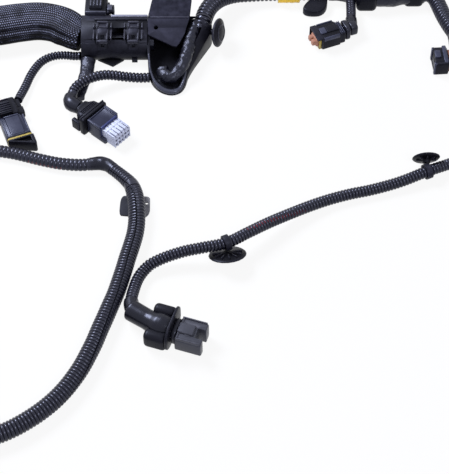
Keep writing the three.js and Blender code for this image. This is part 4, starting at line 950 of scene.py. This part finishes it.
# %% Lip of the scoop and ribs of the rear plug
LIP_ROUTE = [(37.9, -24, 19.4), (38.6, -30, 17.0), (40, -42, 12.2), (45.5, -54.7, 7.1), (54, -62.4, 4.1),
             (63.5, -65, 3.3), (71.2, -62, 4.1), (75.5, -54.5, 7.2), (78.2, -43, 11.9)]
lip_points, _ = smooth_route(LIP_ROUTE, 0.002)
lip_size = interpolate([(0, 0.0009), (0.32, 0.0013), (0.46, 0.0026), (0.7, 0.0027), (0.84, 0.0015), (1, 0.001)])
scoop_lip = extrude_ring("scoop_lip_bead", circle_outline(14), lip_points,
                         [lip_size(k / (len(lip_points) - 1)) for k in range(len(lip_points))], sky=UPRIGHT)
# The lip is glossy, and its paler colour is a painted highlight.
lip_gloss_and_painted_highlight = moulded_finish("glossy_lip_painted_highlight", (0.02, 0.021, 0.032), (0.12, 0.125, 0.17), 0.22, specular=0.42)
dress(scoop_lip, "moulded", finish=lip_gloss_and_painted_highlight)
rear_ribs = [((x, x + 1.5), (27, 47), (40.2, 42.4)) for x in (-27, -23.4, -19.8, -16.2)]
rear_ribs += [((-32.4, -9.6), (20.6, 22.4), (33.0, 38.4), 0.6), ((-8.4, -3), (25, 33), (35.4, 37.8))]
# The rear plug's ribs take the lip's finish, with the same painted highlight.
block_piece("rear_plug_ribs", "moulded", AS_PLACED, rear_ribs, finish=lip_gloss_and_painted_highlight)
print("lip:", len(scoop_lip.data.polygons), "faces, rear plug ribs:", len(rear_ribs))

# %% Beads on the oval clip's cap
CLIP_ROOT = Vector((97.5, 12.5, 17))
BEAD_STEPS = 48
cap_axis = Vector((0.92, -0.33, 0.2)).normalized()
cap_side = cap_axis.orthogonal().normalized()
cap_over = cap_axis.cross(cap_side)


def cap_bead(name, radius, lift, thickness):
    """A round bead about the clip's axis, `lift` from its root, all in millimetres."""
    middle = CLIP_ROOT + cap_axis * lift
    turns = [2 * math.pi * k / BEAD_STEPS for k in range(BEAD_STEPS + 1)]
    points = [(middle + radius * (math.cos(a) * cap_side + math.sin(a) * cap_over)) * MM for a in turns]
    bead = extrude_ring(name, circle_outline(10), points, [thickness * MM] * len(points), sky=cap_axis)
    print(name, "radius:", radius, "mm")
    # The beads take the buckles' finish, whose pale edges are partly wear and partly a painted highlight.
    return dress(bead, "moulded", finish=buckle_wear_and_highlight)


cap_bead("clip_cap_rim", 15.0, 17.3, 0.9)
cap_bead("clip_cap_crown", 8.8, 20.6, 0.8)

# %% [markdown]
# Every solid gets the finish of its slot in the record, also those that a softened twin or a detailed piece stands
# for, so that no solid is ever bare.

# %% Dress the solids that stay
for node_name, solid in nodes.items():
    solid.data.materials.clear()
    solid.data.materials.append(finishes[SLOT_OF[node_name]])
print("slots in use:", sorted(set(SLOT_OF.values())))

# %% [markdown]
# The table is a pale plane that shows almost white, and keeps a soft shadow under the harness. The whiteness is for
# rays from the camera, straight, off a glossy surface or through glass, so it shows in reflections and doesn't light
# the harness. The light is a large soft panel above and behind, which draws the long highlights on the black parts,
# and a weaker one in front.

# %% Floor and light
floor_mesh = bpy.data.meshes.new("table_top")
floor_bm = bmesh.new()
bmesh.ops.create_grid(floor_bm, x_segments=1, y_segments=1, size=3.0)
floor_bm.to_mesh(floor_mesh)
floor_bm.free()
table_top = bpy.data.objects.new("table_top", floor_mesh)
bpy.context.scene.collection.objects.link(table_top)


def rays_that_see_white(tree):
    """1 for what the camera sees straight, in a reflection or through glass, and 0 for the light that is cast."""
    path = make_node(tree, "ShaderNodeLightPath").outputs
    mirrored = math_node(tree, "ADD", path["Is Glossy Ray"], path["Is Transmission Ray"])
    return math_node(tree, "ADD", path["Is Camera Ray"], mirrored, clamp=True)


TABLE_WHITENESS = 0.9
DIM_BLUE = (0.17, 0.17, 0.24, 1)
floor_material = bpy.data.materials.new("pale_table")
floor_material.use_nodes = True
floor_tree = floor_material.node_tree
floor_tree.nodes.clear()
floor_diffuse = make_node(floor_tree, "ShaderNodeBsdfDiffuse", {"Color": (0.8, 0.8, 0.8, 1)})
floor_glow = make_node(floor_tree, "ShaderNodeEmission", {"Color": WHITE, "Strength": 1.0})
floor_share = times(floor_tree, rays_that_see_white(floor_tree), TABLE_WHITENESS)
floor_mix = make_node(floor_tree, "ShaderNodeMixShader", {0: floor_share, 1: floor_diffuse.outputs[0],
                                                          2: floor_glow.outputs[0]})
make_node(floor_tree, "ShaderNodeOutputMaterial", {"Surface": floor_mix.outputs[0]})
floor_mesh.materials.append(floor_material)

world = bpy.data.worlds.new("studio")
bpy.context.scene.world = world
world.use_nodes = True
world_tree = world.node_tree
world_tree.nodes.clear()
world_color = mix_colors(world_tree, rays_that_see_white(world_tree), DIM_BLUE, WHITE)
world_back = make_node(world_tree, "ShaderNodeBackground", {"Color": world_color, "Strength": 1.0})
make_node(world_tree, "ShaderNodeOutputWorld", {"Surface": world_back.outputs[0]})

LAMPS_AIM = Vector((0.1, -0.2, 0))


def soft_panel(name, place, size, watts, color):
    light = bpy.data.lights.new(name, "AREA")
    light.shape = "RECTANGLE"
    light.size, light.size_y = size
    light.energy = watts
    light.color = color
    lamp = bpy.data.objects.new(name, light)
    lamp.location = place
    lamp.rotation_euler = (LAMPS_AIM - Vector(place)).to_track_quat("-Z", "Y").to_euler()
    bpy.context.scene.collection.objects.link(lamp)


soft_panel("panel_above", (-0.75, 0.42, 1.15), (0.7, 0.5), 33, (0.87, 0.91, 1.0))
soft_panel("panel_front", (0.7, -1.2, 1.3), (0.6, 0.6), 12, (0.94, 0.95, 1.0))
bpy.context.scene.view_settings.view_transform = "Standard"
